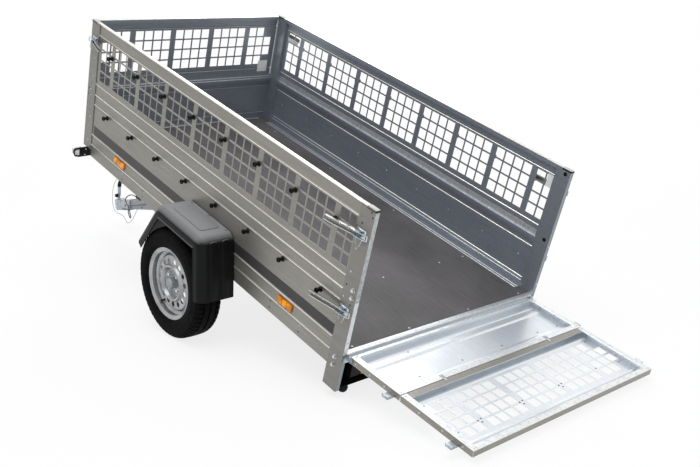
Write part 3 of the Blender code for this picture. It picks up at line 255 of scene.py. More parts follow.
def film_plywood(light):
    """Phenolic film-faced birch plywood: dark brown-grey, fine streaks along the boards, satin."""
    material, tree, shader = surface("film_faced_plywood_pressed", Base_Color="#5C5653", Roughness=0.46,
                                     Specular_IOR_Level=0.3)
    fibre = node(tree, "ShaderNodeTexNoise",
                 {"Vector": along_bed(tree, (1.0, 0.035, 1.0)), "Scale": 190.0, "Detail": 6.0,
                  "Roughness": 0.7})
    patches = node(tree, "ShaderNodeTexNoise", {"Vector": along_bed(tree), "Scale": 3.0, "Detail": 4.0})
    mixed = node(tree, "ShaderNodeMath", {0: patches.outputs[0], 1: 0.45}, operation="MULTIPLY")
    whole = node(tree, "ShaderNodeMath", {0: fibre.outputs[0], 1: 0.55, 2: mixed.outputs[0]},
                 operation="MULTIPLY_ADD")
    node(tree, "ShaderNodeValToRGB", {"Fac": whole.outputs[0]},
         stops=((0.36, shaded(light, 0.45)), (0.50, shaded(light, 0.70)), (0.66, light)),
         into=shader.inputs["Base Color"])
    # Fine pressed screen texture, drawn at 5 mm because the real 1 mm one is too fine to show
    screen = node(tree, "ShaderNodeTexVoronoi",
                  {"Vector": along_bed(tree), "Scale": 200.0, "Randomness": 0.2})
    node(tree, "ShaderNodeBump", {"Height": screen.outputs["Distance"], "Distance": 0.0004, "Strength": 0.14},
         into=shader.inputs["Normal"])
    return material


def moulded_plastic(name, colour, light, roughness, grain_mm, depth, dust_and_sheen=None):
    """Injection-moulded plastic with a fine leather grain.

    A wide top may carry a painted sheen: a pale tone on the faces that look up, which fades over its
    shoulders, standing in for the sky's reflection on the top.
    """
    material, tree, shader = surface(name, Base_Color=colour, Roughness=roughness, Specular_IOR_Level=0.13)
    place = node(tree, "ShaderNodeTexCoord").outputs["Object"]
    grain = node(tree, "ShaderNodeTexVoronoi", {"Vector": place, "Scale": 1000.0 / grain_mm})
    haze = node(tree, "ShaderNodeTexNoise", {"Vector": place, "Scale": 9.0, "Detail": 5.0})
    tone = node(tree, "ShaderNodeValToRGB", {"Fac": haze.outputs[0]},
                stops=((0.30, colour), (0.72, light))).outputs[0]
    # Painted sheen: faces that look up are mixed toward the pale colour, as the sky's reflection on a glossy
    # top
    if dust_and_sheen:
        normal = node(tree, "ShaderNodeNewGeometry").outputs["Normal"]
        upright = node(tree, "ShaderNodeSeparateXYZ", {0: normal})
        painted_sheen_mask = node(tree, "ShaderNodeMapRange",
                       {"Value": upright.outputs[2], "From Min": 0.35, "From Max": 0.97}).outputs[0]
        tone = node(tree, "ShaderNodeMix", {0: painted_sheen_mask, 6: tone, 7: linear(dust_and_sheen)},
                    data_type="RGBA").outputs[2]
    tree.links.new(tone, shader.inputs["Base Color"])
    node(tree, "ShaderNodeBump", {"Height": grain.outputs["Distance"], "Distance": depth, "Strength": 0.35},
         into=shader.inputs["Normal"])
    return material


def tyre_rubber():
    """Vulcanised tyre rubber: near black, matt, with a little road dust in its hollows."""
    material, tree, shader = surface("vulcanised_tyre_rubber", Base_Color="#070707", Roughness=0.70,
                                     Specular_IOR_Level=0.06)
    place = node(tree, "ShaderNodeTexCoord").outputs["Object"]
    dust_and_sheen = node(tree, "ShaderNodeTexNoise", {"Vector": place, "Scale": 26.0, "Detail": 6.0})
    node(tree, "ShaderNodeValToRGB", {"Fac": dust_and_sheen.outputs[0]}, stops=((0.38, "#050505"), (0.72, "#0E0E0E")),
         into=shader.inputs["Base Color"])
    node(tree, "ShaderNodeBump", {"Height": dust_and_sheen.outputs[0], "Distance": 0.0006, "Strength": 0.2},
         into=shader.inputs["Normal"])
    return material


def silver_lacquer(light):
    """Silver lacquer sprayed on a pressed steel wheel: fine metal flake under a satin coat."""
    material, tree, shader = surface("silver_lacquered_steel", Base_Color="#A9AAAB", Metallic=0.80,
                                     Roughness=0.34, Coat_Weight=0.25, Coat_Roughness=0.25)
    place = node(tree, "ShaderNodeTexCoord").outputs["Object"]
    flake = node(tree, "ShaderNodeTexNoise", {"Vector": place, "Scale": 500.0, "Detail": 2.0})
    haze = node(tree, "ShaderNodeTexNoise", {"Vector": place, "Scale": 14.0, "Detail": 4.0})
    mixed = node(tree, "ShaderNodeMath", {0: flake.outputs[0], 1: 0.3, 2: haze.outputs[0]},
                 operation="MULTIPLY_ADD")
    node(tree, "ShaderNodeValToRGB", {"Fac": mixed.outputs[0]},
         stops=((0.45, shaded(light, 0.58)), (0.85, light)), into=shader.inputs["Base Color"])
    return material


def lens(name, colour, deep, rib_mm):
    """Injection-moulded PMMA lens with optic ribs, glossy, with its own depth of colour."""
    material, tree, shader = surface(name, Base_Color=colour, Roughness=0.22, Specular_IOR_Level=0.25,
                                     Coat_Weight=0.15, Coat_Roughness=0.10)
    place = node(tree, "ShaderNodeTexCoord").outputs["Object"]
    ribs = node(tree, "ShaderNodeTexWave",
                {"Vector": place, "Scale": 1000.0 / rib_mm / 20.0, "Distortion": 0.0}, wave_type="BANDS",
                bands_direction="DIAGONAL")
    node(tree, "ShaderNodeValToRGB", {"Fac": ribs.outputs["Fac"]}, stops=((0.2, deep), (0.8, colour)),
         into=shader.inputs["Base Color"])
    node(tree, "ShaderNodeBump", {"Height": ribs.outputs["Fac"], "Distance": 0.0006, "Strength": 0.3},
         into=shader.inputs["Normal"])
    return material


def printed_film(name, colour, light, roughness):
    """Cast vinyl or PVC film stuck on the sheet: even colour, with a faint cloud from handling."""
    material, tree, shader = surface(name, Base_Color=colour, Roughness=roughness)
    place = node(tree, "ShaderNodeTexCoord").outputs["Object"]
    haze = node(tree, "ShaderNodeTexNoise", {"Vector": place, "Scale": 11.0, "Detail": 5.0})
    node(tree, "ShaderNodeValToRGB", {"Fac": haze.outputs[0]}, stops=((0.35, colour), (0.75, light)),
         into=shader.inputs["Base Color"])
    return material


def pale_floor():
    """The studio's painted floor: white to the camera and in mirrors, faintly shaded under the trailer."""
    material, tree, shader = surface("studio_floor_paint", Base_Color="#F4F4F3", Roughness=0.9,
                                     Specular_IOR_Level=0.1)
    place = node(tree, "ShaderNodeTexCoord").outputs["Object"]
    grain = node(tree, "ShaderNodeTexNoise", {"Vector": place, "Scale": 1.5, "Detail": 3.0})
    node(tree, "ShaderNodeValToRGB", {"Fac": grain.outputs[0]}, stops=((0.2, "#F2F2F1"), (0.8, "#F6F6F5")),
         into=shader.inputs["Base Color"])
    reach = node(tree, "ShaderNodeVectorMath", {0: place}, operation="LENGTH").outputs["Value"]
    share = node(tree, "ShaderNodeMapRange",
                 {"Value": reach, "From Min": 2.0, "From Max": 6.0, "To Min": 0.80, "To Max": 1.0}).outputs[0]
    seen = node(tree, "ShaderNodeMath", {0: seen_by_eye(tree), 1: share}, operation="MULTIPLY").outputs[0]
    white = node(tree, "ShaderNodeEmission", {"Color": WHITE, "Strength": 1.0}).outputs[0]
    mixed = node(tree, "ShaderNodeMixShader", {0: seen, 1: shader.outputs[0], 2: white}).outputs[0]
    tree.links.new(mixed, tree.nodes["Material Output"].inputs["Surface"])
    return material


MATERIALS = {}


def make_materials():
    """Makes every finish once, under the short name that the pieces use."""
    made = {
        # Skin-passed zinc greys on a shaded wall, so the boards read as warm satin grey; the warm tone
        # outside and the cool blue-grey inside the bed are painted tints of the light on each side
        "sheet": zinc_sheet("galvanised_sheet_skin_passed", "#98958E", "#807D77", 0.36, 0.62,
                            inner=("#A0A7B2", "#868B97")),
        "post": zinc_sheet("galvanised_sheet_folded_post", "#8E8C87", "#797773", 0.36, 0.62,
                           inner=("#9AA0A8", "#848A92")),
        # The tailgate lies under the sky; its sheet is painted nearly white as a painted reflection of the
        # sky
        "gate": zinc_sheet("galvanised_sheet_bright", "#F0F4F7", "#DADFE5", 0.3, 0.8),
        "edge": zinc_sheet("galvanised_sheet_folded_edge", "#A19D95", "#88847C", 0.36, 0.62),
        "frame": zinc_sheet("galvanised_steel_batch_dipped", "#A7ABAD", "#7F8487", 0.46, 0.55, 14.0),
        # A ridge's crest and a rim's fold are painted near white, as painted highlights where they catch the
        # light
        "crest": zinc_plated("galvanised_fold_rolled_bright", "#F3F2EC", "#DEDDD6", 0.34),
        "rim": zinc_plated("galvanised_rim_bright", "#EEF0F0", "#D5D8DA", 0.34),
        # A lighter satin grey, painted light on the rear face of the rear-left post
        "painted_lit_grey": zinc_plated("galvanised_fold_satin", "#C3C6C6", "#A5A9AA", 0.38),
        "lid": moulded_plastic("polyamide_moulded_grey", "#B9B9B5", "#C6C6C2", 0.45, 1.0, 0.0002),
        "zinc": zinc_plated("zinc_plated_pressed_steel"),
        "latch": zinc_plated("zinc_plated_latch_bright", "#E2E9EE", "#B9C4CC", 0.26),
        "spring": zinc_plated("zinc_plated_spring_wire", "#8E9DAC", "#66727F", 0.3),
        "screw": zinc_plated("zinc_plated_fastener", "#D9DBDC", "#B2B5B8", 0.28),
        "plywood": film_plywood(colour_of("plywood")),
        # The fender's crown takes a pale painted sheen on its upward faces
        "fender": moulded_plastic("polypropylene_moulded_grained", "#0B0C0C", "#121314", 0.38, 1.2, 0.0003,
                                  "#8C8D8F"),
        "nylon": moulded_plastic("nylon_moulded_black", "#060606", "#0C0C0D", 0.34, 0.8, 0.0002),
        "housing": moulded_plastic("abs_moulded_black", "#0E0E0F", "#161617", 0.4, 1.0, 0.0002),
        "rubber": moulded_plastic("epdm_rubber_moulded", "#121213", "#1C1C1D", 0.6, 1.4, 0.0003),
        "tyre": tyre_rubber(),
        "wheel": silver_lacquer(colour_of("wheel")),
        "red": lens("pmma_lens_red", "#B5121A", "#8A0A10", 4.0),
        "amber": lens("pmma_reflector_amber", colour_of("reflector"), shaded(colour_of("reflector"), 0.62),
                      7.0),
        "amber_deep": lens("pmma_reflector_amber_base", "#D9640A", "#B24A06", 7.0),
        "clear": lens("pmma_lens_clear", "#E9EAEA", "#C9CCCD", 4.0),
        "stripe": printed_film("cast_vinyl_black", shaded(colour_of("stripe"), 0.75), colour_of("stripe"),
                               0.42),
        "label": printed_film("pvc_label_white", "#E6E7E6", "#F1F1F0", 0.35),
        "plate": printed_film("anodised_plate_blank", "#C3C6C8", "#D4D6D7", 0.3),
        "hole": printed_film("punched_hole_shade", "#141516", "#1E1F20", 0.85),
        "cable": printed_film("pvc_cable_sheath", "#56575A", "#6A6B6E", 0.45),
        "wire": printed_film("sleeved_steel_wire", "#A3A4A2", "#B8B9B7", 0.32),
        "floor": pale_floor(),
    }
    MATERIALS.update(made)


# Bits of mesh. Each function returns a closed bit that a Shape takes in.

# Turns for a straight solid. ALONG and FORWARD take an outline of x and z, and the height runs
# back along -y or forward along y. ACROSS takes an outline of y and z, and the height runs along x.
ALONG = Matrix(((1, 0, 0, 0), (0, 0, -1, 0), (0, 1, 0, 0), (0, 0, 0, 1)))
FORWARD = Matrix(((1, 0, 0, 0), (0, 0, 1, 0), (0, 1, 0, 0), (0, 0, 0, 1)))
ACROSS = Matrix(((0, 0, 1, 0), (1, 0, 0, 0), (0, 1, 0, 0), (0, 0, 0, 1)))
AXLE_TURN = Matrix.Rotation(math.radians(90.0), 4, "Y")
ROLLED = Matrix.Rotation(math.radians(90.0), 4, "X")


def flipped(sign):
    """Mirrors a place to the left for -1, and leaves it for 1."""
    return Matrix.Diagonal((sign, 1.0, 1.0, 1.0))


def around(turn, x, radius):
    """A place on a wheel: turned about x from the top, out at a radius."""
    return Matrix.Rotation(turn, 4, "X") @ moved(x, 0.0, radius)


def block(low, high, bevel=0.0, steps=2):
    """A block between two corners, with rounded edges."""
    (a, b, c), (d, e, f) = [[min(pair) for pair in zip(low, high)], [max(pair) for pair in zip(low, high)]]
    return prism(((a, b), (d, b), (d, e), (a, e)), c, f, bevel, steps)


def turned(profile, steps=24, ring=False):
    """A solid turned about z from points of radius and height; a ring's profile is a closed loop."""
    bit = bmesh.new()
    rings = []
    for radius, height in profile:
        if radius < 1e-6:
            rings.append([bit.verts.new((0.0, 0.0, height))] * steps)
            continue
        rings.append([bit.verts.new((x, y, height)) for x, y in circle(radius, steps)])
    pairs = list(zip(rings, rings[1:])) + ([(rings[-1], rings[0])] if ring else [])
    for first, second in pairs:
        for k in range(steps):
            corners = []
            for vert in (first[k], first[(k + 1) % steps], second[(k + 1) % steps], second[k]):
                if vert not in corners:
                    corners.append(vert)
            if len(corners) > 2:
                bit.faces.new(corners)
    if not ring:
        for loop in (rings[0], rings[-1]):
            if loop[0] is not loop[1]:
                bit.faces.new(loop)
    bmesh.ops.recalc_face_normals(bit, faces=bit.faces[:])
    return bit


def loft(loops, ring=False):
    """A solid through loops of points; a ring's last loop joins its first."""
    bit = bmesh.new()
    rows = [[bit.verts.new(point) for point in loop] for loop in loops]
    size = len(rows[0])
    for first, second in list(zip(rows, rows[1:])) + ([(rows[-1], rows[0])] if ring else []):
        for k in range(size):
            after = (k + 1) % size
            bit.faces.new((first[k], first[after], second[after], second[k]))
    if not ring:
        bit.faces.new(rows[0])
        bit.faces.new(rows[-1])
    bmesh.ops.recalc_face_normals(bit, faces=bit.faces[:])
    return bit


def prism(outline, low, high, bevel=0.0, steps=2):
    """A straight solid over an outline of x, y points, from low to high, with rounded edges."""
    bit = loft([[(x, y, height) for x, y in outline] for height in (low, high)])
    if bevel:
        bmesh.ops.bevel(bit, geom=bit.edges[:], offset=bevel, segments=steps, profile=0.5, affect="EDGES")
    return bit


def sweep(path, section, closed=False, up=(0.0, 0.0, 1.0)):
    """A bar of one section, points across and up, carried along a path without twist."""
    points = [Vector(point) for point in path]
    count = len(points)
    loops = []
    side = None
    for at, point in enumerate(points):
        before = points[at - 1] if at or closed else point
        after = points[(at + 1) % count] if at < count - 1 or closed else point
        ahead = (after - before).normalized()
        if side is None:
            side = ahead.cross(Vector(up))
            if side.length < 1e-4:
                side = ahead.cross(Vector((1.0, 0.0, 0.0)))
        side = (side - ahead * side.dot(ahead)).normalized()
        over = side.cross(ahead)
        loops.append([point + side * x + over * y for x, y in section])
    return loft(loops, closed)


def circle(radius, sides=10):
    """The section of a round bar."""
    return [(radius * math.cos(math.tau * k / sides), radius * math.sin(math.tau * k / sides))
            for k in range(sides)]


def rounded_corner(before, corner, after, radius, steps):
    """The points of one corner rounded off, at most up to the middles of its two legs."""
    before, corner, after = Vector(before), Vector(corner), Vector(after)
    reach = min(radius, (before - corner).length / 2.05, (after - corner).length / 2.05)
    start = corner + (before - corner).normalized() * reach
    end = corner + (after - corner).normalized() * reach
    shares = [k / steps for k in range(steps + 1)]
    return [tuple(start.lerp(corner, share).lerp(corner.lerp(end, share), share)) for share in shares]


def rounded(points, radius, steps=4):
    """An outline with every corner rounded off."""
    made = []
    for at in range(len(points)):
        made += rounded_corner(points[at - 1], points[at], points[(at + 1) % len(points)], radius, steps)
    return made


def round_box(left, low, right, high, radius, steps):
    """The outline of a box with rounded corners."""
    return rounded(((left, low), (right, low), (right, high), (left, high)), radius, steps)


def bent(points, radius, steps=4):
    """A line with its inner corners rounded off."""
    made = [tuple(points[0])]
    for before, corner, after in zip(points, points[1:], points[2:]):
        made += rounded_corner(before, corner, after, radius, steps)
    return made + [tuple(points[-1])]


def smooth_route(points, steps):
    """A Catmull-Rom line through the points."""
    points = [Vector(point) for point in points]
    points = [points[0] * 2 - points[1]] + points + [points[-1] * 2 - points[-2]]
    made = []
    for a, b, c, d in zip(points, points[1:], points[2:], points[3:]):
        for k in range(steps):
            t = k / steps
            made.append(0.5 * (b * 2 + (c - a) * t + (a * 2 - b * 5 + c * 4 - d) * t * t
                               + (b * 3 - a - c * 3 + d) * t * t * t))
    made.append(points[-2])
    return made


BACKWARDS, FORWARDS, UP = (0.0, -1.0, 0.0), (0.0, 1.0, 0.0), (0.0, 0.0, 1.0)


def facing(point, out, along=FORWARDS):
    """A place at a point whose z looks out, with its y near along."""
    z = Vector(out).normalized()
    y = (Vector(along) - z * Vector(along).dot(z))
    if y.length < 1e-4:
        y = z.orthogonal()
    y.normalize()
    x = y.cross(z)
    place = Matrix((x, y, z)).transposed().to_4x4()
    place.translation = Vector(point)
    return place


def added(name, data):
    """A new object in the scene."""
    made = bpy.data.objects.new(name, data)
    bpy.context.scene.collection.objects.link(made)
    return made


class Shape:
    """A mesh gathered from bits, each in one of its piece's finishes."""

    def __init__(self):
        self.mesh = bmesh.new()

    def take(self, bit, finish=0, place=Matrix()):
        """Moves a bit to its place and takes it in."""
        for face in bit.faces:
            face.material_index = finish
        bmesh.ops.transform(bit, matrix=place, verts=bit.verts[:])
        if place.determinant() < 0:
            bmesh.ops.reverse_faces(bit, faces=bit.faces[:])
        gathered = bpy.data.meshes.new("bit")
        bit.to_mesh(gathered)
        bit.free()
        self.mesh.from_mesh(gathered)
        bpy.data.meshes.remove(gathered)
        return self

    def turn_into(self, name, finishes, body, slot, place=Matrix(), stands_for=(), sharp=32.0):
        """Makes the piece, at its place, riding on its body."""
        mesh = bpy.data.meshes.new(name)
        self.mesh.to_mesh(mesh)
        self.mesh.free()
        for finish in finishes:
            mesh.materials.append(MATERIALS[finish])
        mesh.shade_smooth()
        mesh.set_sharp_from_angle(angle=math.radians(sharp))
        made = added(name, mesh)
        made.matrix_world = place
        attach(made, body)
        if stands_for:
            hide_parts(*stands_for)
        return made


def pin(radius, half, steps):
    """A round pin, as long on both sides of its middle."""
    return turned(((0.0, -half), (radius, -half), (radius, half), (0.0, half)), steps)


def screw_head(radius, rise):
    """A pan screw head with a shallow recess."""
    return turned(((0.0, rise * 0.55), (radius * 0.3, rise * 0.55), (radius * 0.36, rise),
                   (radius * 0.72, rise * 0.92), (radius * 0.95, rise * 0.55), (radius, 0.0)), 12)


def hex_bolt(radius, rise):
    """A hexagon bolt head on its washer."""
    return prism(circle(radius, 6), rise * 0.22, rise, radius * 0.09, 1)


def washer(radius, rise):
    """A flat washer under a bolt head."""
    return turned(((0.0, 0.0), (radius, 0.0), (radius, rise * 0.8), (radius * 0.93, rise), (0.0, rise)), 18)


def mark(radius):
    """A small punched hole as it shows on a sheet: a shaded disc a hair proud of it."""
    return turned(((0.0, PROUD), (radius * 0.9, PROUD), (radius, 0.0)), 14)


# Camera, stage and lights

CAMERA_PLACE = (-3.11873, -4.00515, 1.77661)
CAMERA_TURN = (1.30192991, -0.01944638, -0.72509052)
CAMERA_LENS_MM = 49.0432


def set_camera():
    """The photograph's viewing place and lens."""
    data = bpy.data.cameras.new("photo_camera")
    data.lens = CAMERA_LENS_MM
    data.sensor_width = 36.0
    camera = added("photo_camera", data)
    camera.location = CAMERA_PLACE
    camera.rotation_euler = CAMERA_TURN
    bpy.context.scene.camera = camera


def softbox(name, place, target, size, power):
    """A square area lamp aimed at a point."""
    data = bpy.data.lights.new(name, "AREA")
    data.shape = "RECTANGLE"
    data.size, data.size_y = size
    data.energy = power
    lamp = added(name, data)
    lamp.location = place
    lamp.rotation_euler = (Vector(target) - Vector(place)).to_track_quat("-Z", "Y").to_euler()


def set_stage():
    """A pale floor, a white surround and plain soft light."""
    ground = bmesh.new()
    bmesh.ops.create_grid(ground, x_segments=24, y_segments=24, size=90.0)
    mesh = bpy.data.meshes.new("studio_floor")
    ground.to_mesh(mesh)
    ground.free()
    mesh.materials.append(MATERIALS["floor"])
    floor = added("studio_floor", mesh)
    floor.location.z = -0.0005
    world = bpy.data.worlds.new("studio")
    bpy.context.scene.world = world
    world.use_nodes = True
    tree = world.node_tree
    tree.nodes.clear()
    white = node(tree, "ShaderNodeBackground", {"Color": WHITE, "Strength": 1.0})
    sky = node(tree, "ShaderNodeBackground", {"Color": (0.96, 0.98, 1.0, 1.0), "Strength": 0.62})
    mixed = node(tree, "ShaderNodeMixShader", {0: seen_by_eye(tree), 1: sky.outputs[0], 2: white.outputs[0]})
    node(tree, "ShaderNodeOutputWorld", {"Surface": mixed.outputs[0]})
    softbox("softbox_over", (-1.5, -1.0, 5.5), (0.0, 0.0, 0.3), (5.0, 5.0), 190.0)
    softbox("softbox_behind", (4.6, 4.2, 4.4), (0.0, 0.2, 0.5), (4.5, 3.0), 150.0)
    bpy.context.scene.view_settings.view_transform = "Standard"


# Cords, in the drawbar's frame: x, along the tube, over its centre line

CABLE_DIAMETER = 0.007
WIRE_DIAMETER = 0.004
PLUG_REAR, PLUG_UP = 1.432, 0.0523
CABLE_ROUTE = mm(((-34.5, 1150, 10), (-35, 1300, 6), (-42, 1360, 4), (-56.3, 1410.5, 1.4), (-63.5, 1457.8, 2),
                  (-75.5, 1478.9, -10.3), (-85.3, 1487.8, -35.5), (-75.4, 1498, -72.8), (-60, 1516.4, -85),
                  (-45.8, 1537.9, -74.1), (-41.7, 1554.3, -38), (-48.8, 1553.3, -3.8), (-53.2, 1568.2, 29.6),
                  (-42.2, 1572.7, 51), (-23.4, 1565, 64.1), (-9.1, 1550.6, 65.4), (-1.2, 1534.2, 58.7),
                  (0, 1520, 53.5), (0, 1507.6, 52.3)))
WIRE_ROUTE = mm(((17, 1706, 140), (18, 1740, 176), (12, 1792, 166), (6, 1842, 105), (0, 1862, 20),
                 (-4, 1850, -30), (-10, 1810, -58), (-20, 1740, -68), (-34, 1660, -84), (-48, 1600, -116),
                 (-50, 1570, -122), (-44, 1540, -108), (-36, 1510, -78), (-34, 1480, -50), (-33.5, 1450, -30),
                 (-32.5, 1400, -18)))
ROUTE_STEPS = 6


def hose(name, route, diameter, finish, stands_for):
    """A round cord as a curve of one open spline, with its real centre line, its length and its start."""
    points = [BAR @ point for point in smooth_route(route, ROUTE_STEPS)]
    data = bpy.data.curves.new(name, "CURVE")
    data.dimensions = "3D"
    data.bevel_depth = diameter / 2
    data.bevel_resolution = 4
    data.use_fill_caps = True
    line = data.splines.new("POLY")
    line.points.add(len(points) - 1)
    for held, point in zip(line.points, points):
        held.co = (*point, 1.0)
    data.materials.append(MATERIALS[finish])
    made = added(name, data)
    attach(made, "drawbar")
    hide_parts(stands_for)
    length = sum((after - before).length for before, after in zip(points, points[1:]))
    return made, length, points[0]


def make_cords():
    """The lighting cable with its parked plug, and the thin safety cable."""
    along = Matrix.Rotation(math.radians(-90.0), 4, "X")
    shell = Shape()
    body_profile = mm(((0, 0), (16.5, 0), (20.5, 3), (20.5, 10), (18, 12), (18, 18), (20.5, 20), (20.5, 28),
                       (18.5, 31), (18.5, 52), (14.5, 58), (11.5, 66), (8.5, 74.5), (4, 75), (0, 75)))
    shell.take(turned(body_profile, 28), 0, moved(0.0, PLUG_REAR, PLUG_UP) @ along)
    for k in range(6):
        turn = math.tau * k / 6
        spot = Vector((0.0192 * math.cos(turn), PLUG_REAR + 0.042, PLUG_UP + 0.0192 * math.sin(turn)))
        rib = block((-0.0016, -0.01, -0.0016), (0.0016, 0.01, 0.0012), 0.0006)
        shell.take(rib, 0, facing(spot, (math.cos(turn), 0.0, math.sin(turn))))
    # The park clip that holds the plug on the tube
    shell.take(sweep(mm(((-24, 0, -18), (-24.5, 0, 4), (0, 0, 22.5), (24.5, 0, 4), (24, 0, -18))),
                     circle(0.0016, 6)), 1, moved(0.0, PLUG_REAR + 0.015, PLUG_UP - 0.003))
    plug = shell.turn_into("plug_seven_pin", ("housing", "zinc"), "drawbar", "black_plastic", BAR, ("plug",))
    cable, length, start = hose("lighting_cable", CABLE_ROUTE, CABLE_DIAMETER, "cable",
                                "electric_cable")
    wire, length, start = hose("safety_wire", WIRE_ROUTE, WIRE_DIAMETER, "wire",
                               "safety_cable")
    fittings = Shape()
    # Tapered strain relief and its grommet where the cable leaves the tube
    relief_sleeve = turned(mm(((0, -30), (6.2, -30), (7, -24), (6.6, 0), (4.8, 26), (3.6, 30), (0, 30))), 16)
    fittings.take(relief_sleeve, 0, Matrix.Translation(CABLE_ROUTE[0]) @ along)
    fittings.take(turned(mm(((0, -6), (11, -6), (12, 0), (7, 4), (0, 4))), 20), 0,
                  facing((-TUBE / 2 - 0.001, CABLE_ROUTE[0][1] - 0.022, CABLE_ROUTE[0][2]), (-1.0, 0.0, 0.0)))
    for at in (1.215, 1.3):
        fittings.take(sweep([(-0.03, at, 0.021), (-0.039, at, 0.016), (-0.0392, at, 0.001),
                             (-0.03, at, -0.004)], mm(((-4, -0.6), (4, -0.6), (4, 0.6), (-4, 0.6)))), 1)
    # Crimp sleeves at the ends of the safety wire
    for route in (WIRE_ROUTE, WIRE_ROUTE[::-1]):
        start, after = Vector(route[0]), Vector(route[1])
        fittings.take(turned(mm(((0, -4), (4.2, -4), (4.6, 0), (4.6, 14), (4, 18), (0, 18))), 14), 1,
                      facing(start, after - start))
    fittings.turn_into("cord_fittings", ("rubber", "zinc"), "drawbar", "black_rubber", BAR)


# Coupling head and its handle

def make_coupling():
    """The pressed coupling head with its open cup, indicator, bolts and the lifting handle."""
    head = Shape()
    rear = BALL_REACH - HEAD_LENGTH
    # Shroud over the square tube, a waisted neck and the hood over the ball
    stations = ((rear + 0.001, 0.034, 0.034, -0.034), (rear + 0.07, 0.034, 0.034, -0.033),
                (rear + 0.105, 0.03, 0.03, -0.028), (rear + 0.135, 0.026, 0.026, -0.028),
                (rear + 0.158, 0.031, 0.031, -0.033), (rear + 0.176, 0.034, 0.038, -0.036),
                (rear + 0.2, 0.034, 0.04, -0.036), (rear + 0.218, 0.031, 0.037, -0.035),
                (rear + 0.232, 0.021, 0.027, -0.027), (rear + 0.239, 0.008, 0.006, -0.01))
    head.take(loft([[(x, y, z) for x, z in round_box(-half, foot, half, top, min(half, 0.012), 4)]
                    for y, half, top, foot in stations]))
    # Bottom flanges and the shaded ball cup seen from below
    head.take(block((-0.039, rear + 0.004, -0.0365), (0.039, rear + 0.15, -0.0335), 0.001), 0)
    head.take(turned(mm(((0, 0), (25.5, 0), (27.5, -2), (27.5, -3.5), (0, -3.5))), 28), 1,
              moved(0.0, BALL_REACH, -0.0345))
    head.take(turned(mm(((25.5, 1), (32, 1), (32, -4), (29, -5.5), (25.5, -4))), 28, True), 0,
              moved(0.0, BALL_REACH, -0.0345))
    # Pressed ribs along the shroud, and the through bolts with their nuts
    for sign in SIGNS:
        head.take(block((sign * 0.0335, rear + 0.012, 0.01), (sign * 0.0355, rear + 0.1, 0.018), 0.0009), 0)
        for at in (0.028, 0.072):
            spot = (sign * 0.034, rear + at, -0.006)
            head.take(washer(0.0115, 0.0018), 2, facing(spot, (sign, 0.0, 0.0)))
            head.take(hex_bolt(0.009, 0.0085), 2, wall_place(sign, rear + at, -0.006, 0.0356))
        head.take(turned(mm(((0, 0), (7, 0), (7, 3), (5, 5), (0, 5))), 16), 2,
                  wall_place(sign, rear + 0.188, 0.014, 0.0335))
    # Slotted top with the coupling state window, left blank
    head.take(block((-0.01, rear + 0.02, 0.0335), (0.01, rear + 0.062, 0.0352), 0.0008), 3)
    head.turn_into("coupling_head_pressed", ("zinc", "hole", "screw", "label"), "drawbar",
                   "zinc_plated_steel", BAR, ("coupling_head",))
    handle = Shape()
    arm = bent(((BALL_REACH + 0.014, 0.0435), (BALL_REACH - 0.008, 0.08), (BALL_REACH - 0.02, 0.135),
                (BALL_REACH - 0.052, 0.168)), 0.02, 5)
    path = [(0.0, y, z) for y, z in arm]
    section = mm(((-12, 3.5), (-9, -4.5), (9, -4.5), (12, 3.5), (8.5, 3.5), (7, -1.5), (-7, -1.5),
                  (-8.5, 3.5)))
    handle.take(sweep(path, section), 0)
    grip = [(0.0, y, z) for y, z in ((BALL_REACH - 0.018, 0.12), (BALL_REACH - 0.021, 0.137),
                                     (BALL_REACH - 0.036, 0.154), (BALL_REACH - 0.056, 0.171))]
    handle.take(sweep(bent(grip, 0.012, 3), round_box(-0.0135, -0.0065, 0.0135, 0.006, 0.005, 3)), 1)
    handle.take(turned(mm(((0, 0), (10.5, 0), (12.5, 4), (12.5, 12), (9.5, 17), (0, 18))), 20), 1,
                facing((-0.011, BALL_REACH + 0.004, 0.06), (-1.0, 0.0, 0.15)))
    handle.turn_into("coupling_handle_sprung", ("zinc", "housing"), "drawbar", "zinc_plated_steel", BAR,
                     ("coupling_handle",))


# Wheels: pieces are drawn at the hub with x outwards and then placed on each side

TREAD_TURNS = 60
SHOULDER_CUT = 0.0065
TREAD_CUT = 0.0035


def tyre_bit():
    """A radial tyre: beads, sidewall rings, square shoulders, three grooves and cut shoulder blocks."""
    half = [(0.056, 0.166, 0), (0.06, 0.17, 0), (0.062, 0.178, 0), (0.0645, 0.18, 0), (0.066, 0.186, 0),
            (0.069, 0.196, 0), (0.0705, 0.1975, 0), (0.072, 0.206, 0), (0.0742, 0.216, 0), (0.0748, 0.228, 0),
            (0.0736, 0.2295, 0), (0.074, 0.24, 0), (0.0722, 0.25, 0), (0.0728, 0.2515, 0), (0.07, 0.259, 1),
            (0.066, 0.2665, 1), (0.06, 0.2735, 1), (0.053, 0.2768, 1), (0.045, 0.2782, 1),
            (0.0395, 0.2786, 1), (0.039, 0.2715, 0), (0.0325, 0.2715, 0), (0.032, 0.279, 2),
            (0.022, 0.2795, 2), (0.012, 0.2798, 2), (0.005, 0.2799, 2), (0.0045, 0.2725, 0)]
    inner = [(-0.052, 0.1655, 0), (-0.064, 0.205, 0), (-0.063, 0.245, 0), (-0.04, 0.264, 0), (0.04, 0.264, 0),
             (0.063, 0.245, 0), (0.064, 0.205, 0), (0.052, 0.1655, 0)]
    profile = half + [(-x, radius, kind) for x, radius, kind in reversed(half)] + inner
    steps = TREAD_TURNS * 4
    rings = []
    for k in range(steps):
        turn = math.tau * k / steps
        ring = []
        for x, radius, kind in profile:
            if kind == 1 and (k + (2 if x < 0 else 0)) % 4 == 0:
                radius -= SHOULDER_CUT
            elif kind == 2 and (k + round(abs(x) * 260)) % 8 == 0:
                radius -= TREAD_CUT
            ring.append((x, radius * math.sin(turn), radius * math.cos(turn)))
        rings.append(ring)
    return loft(rings, True)


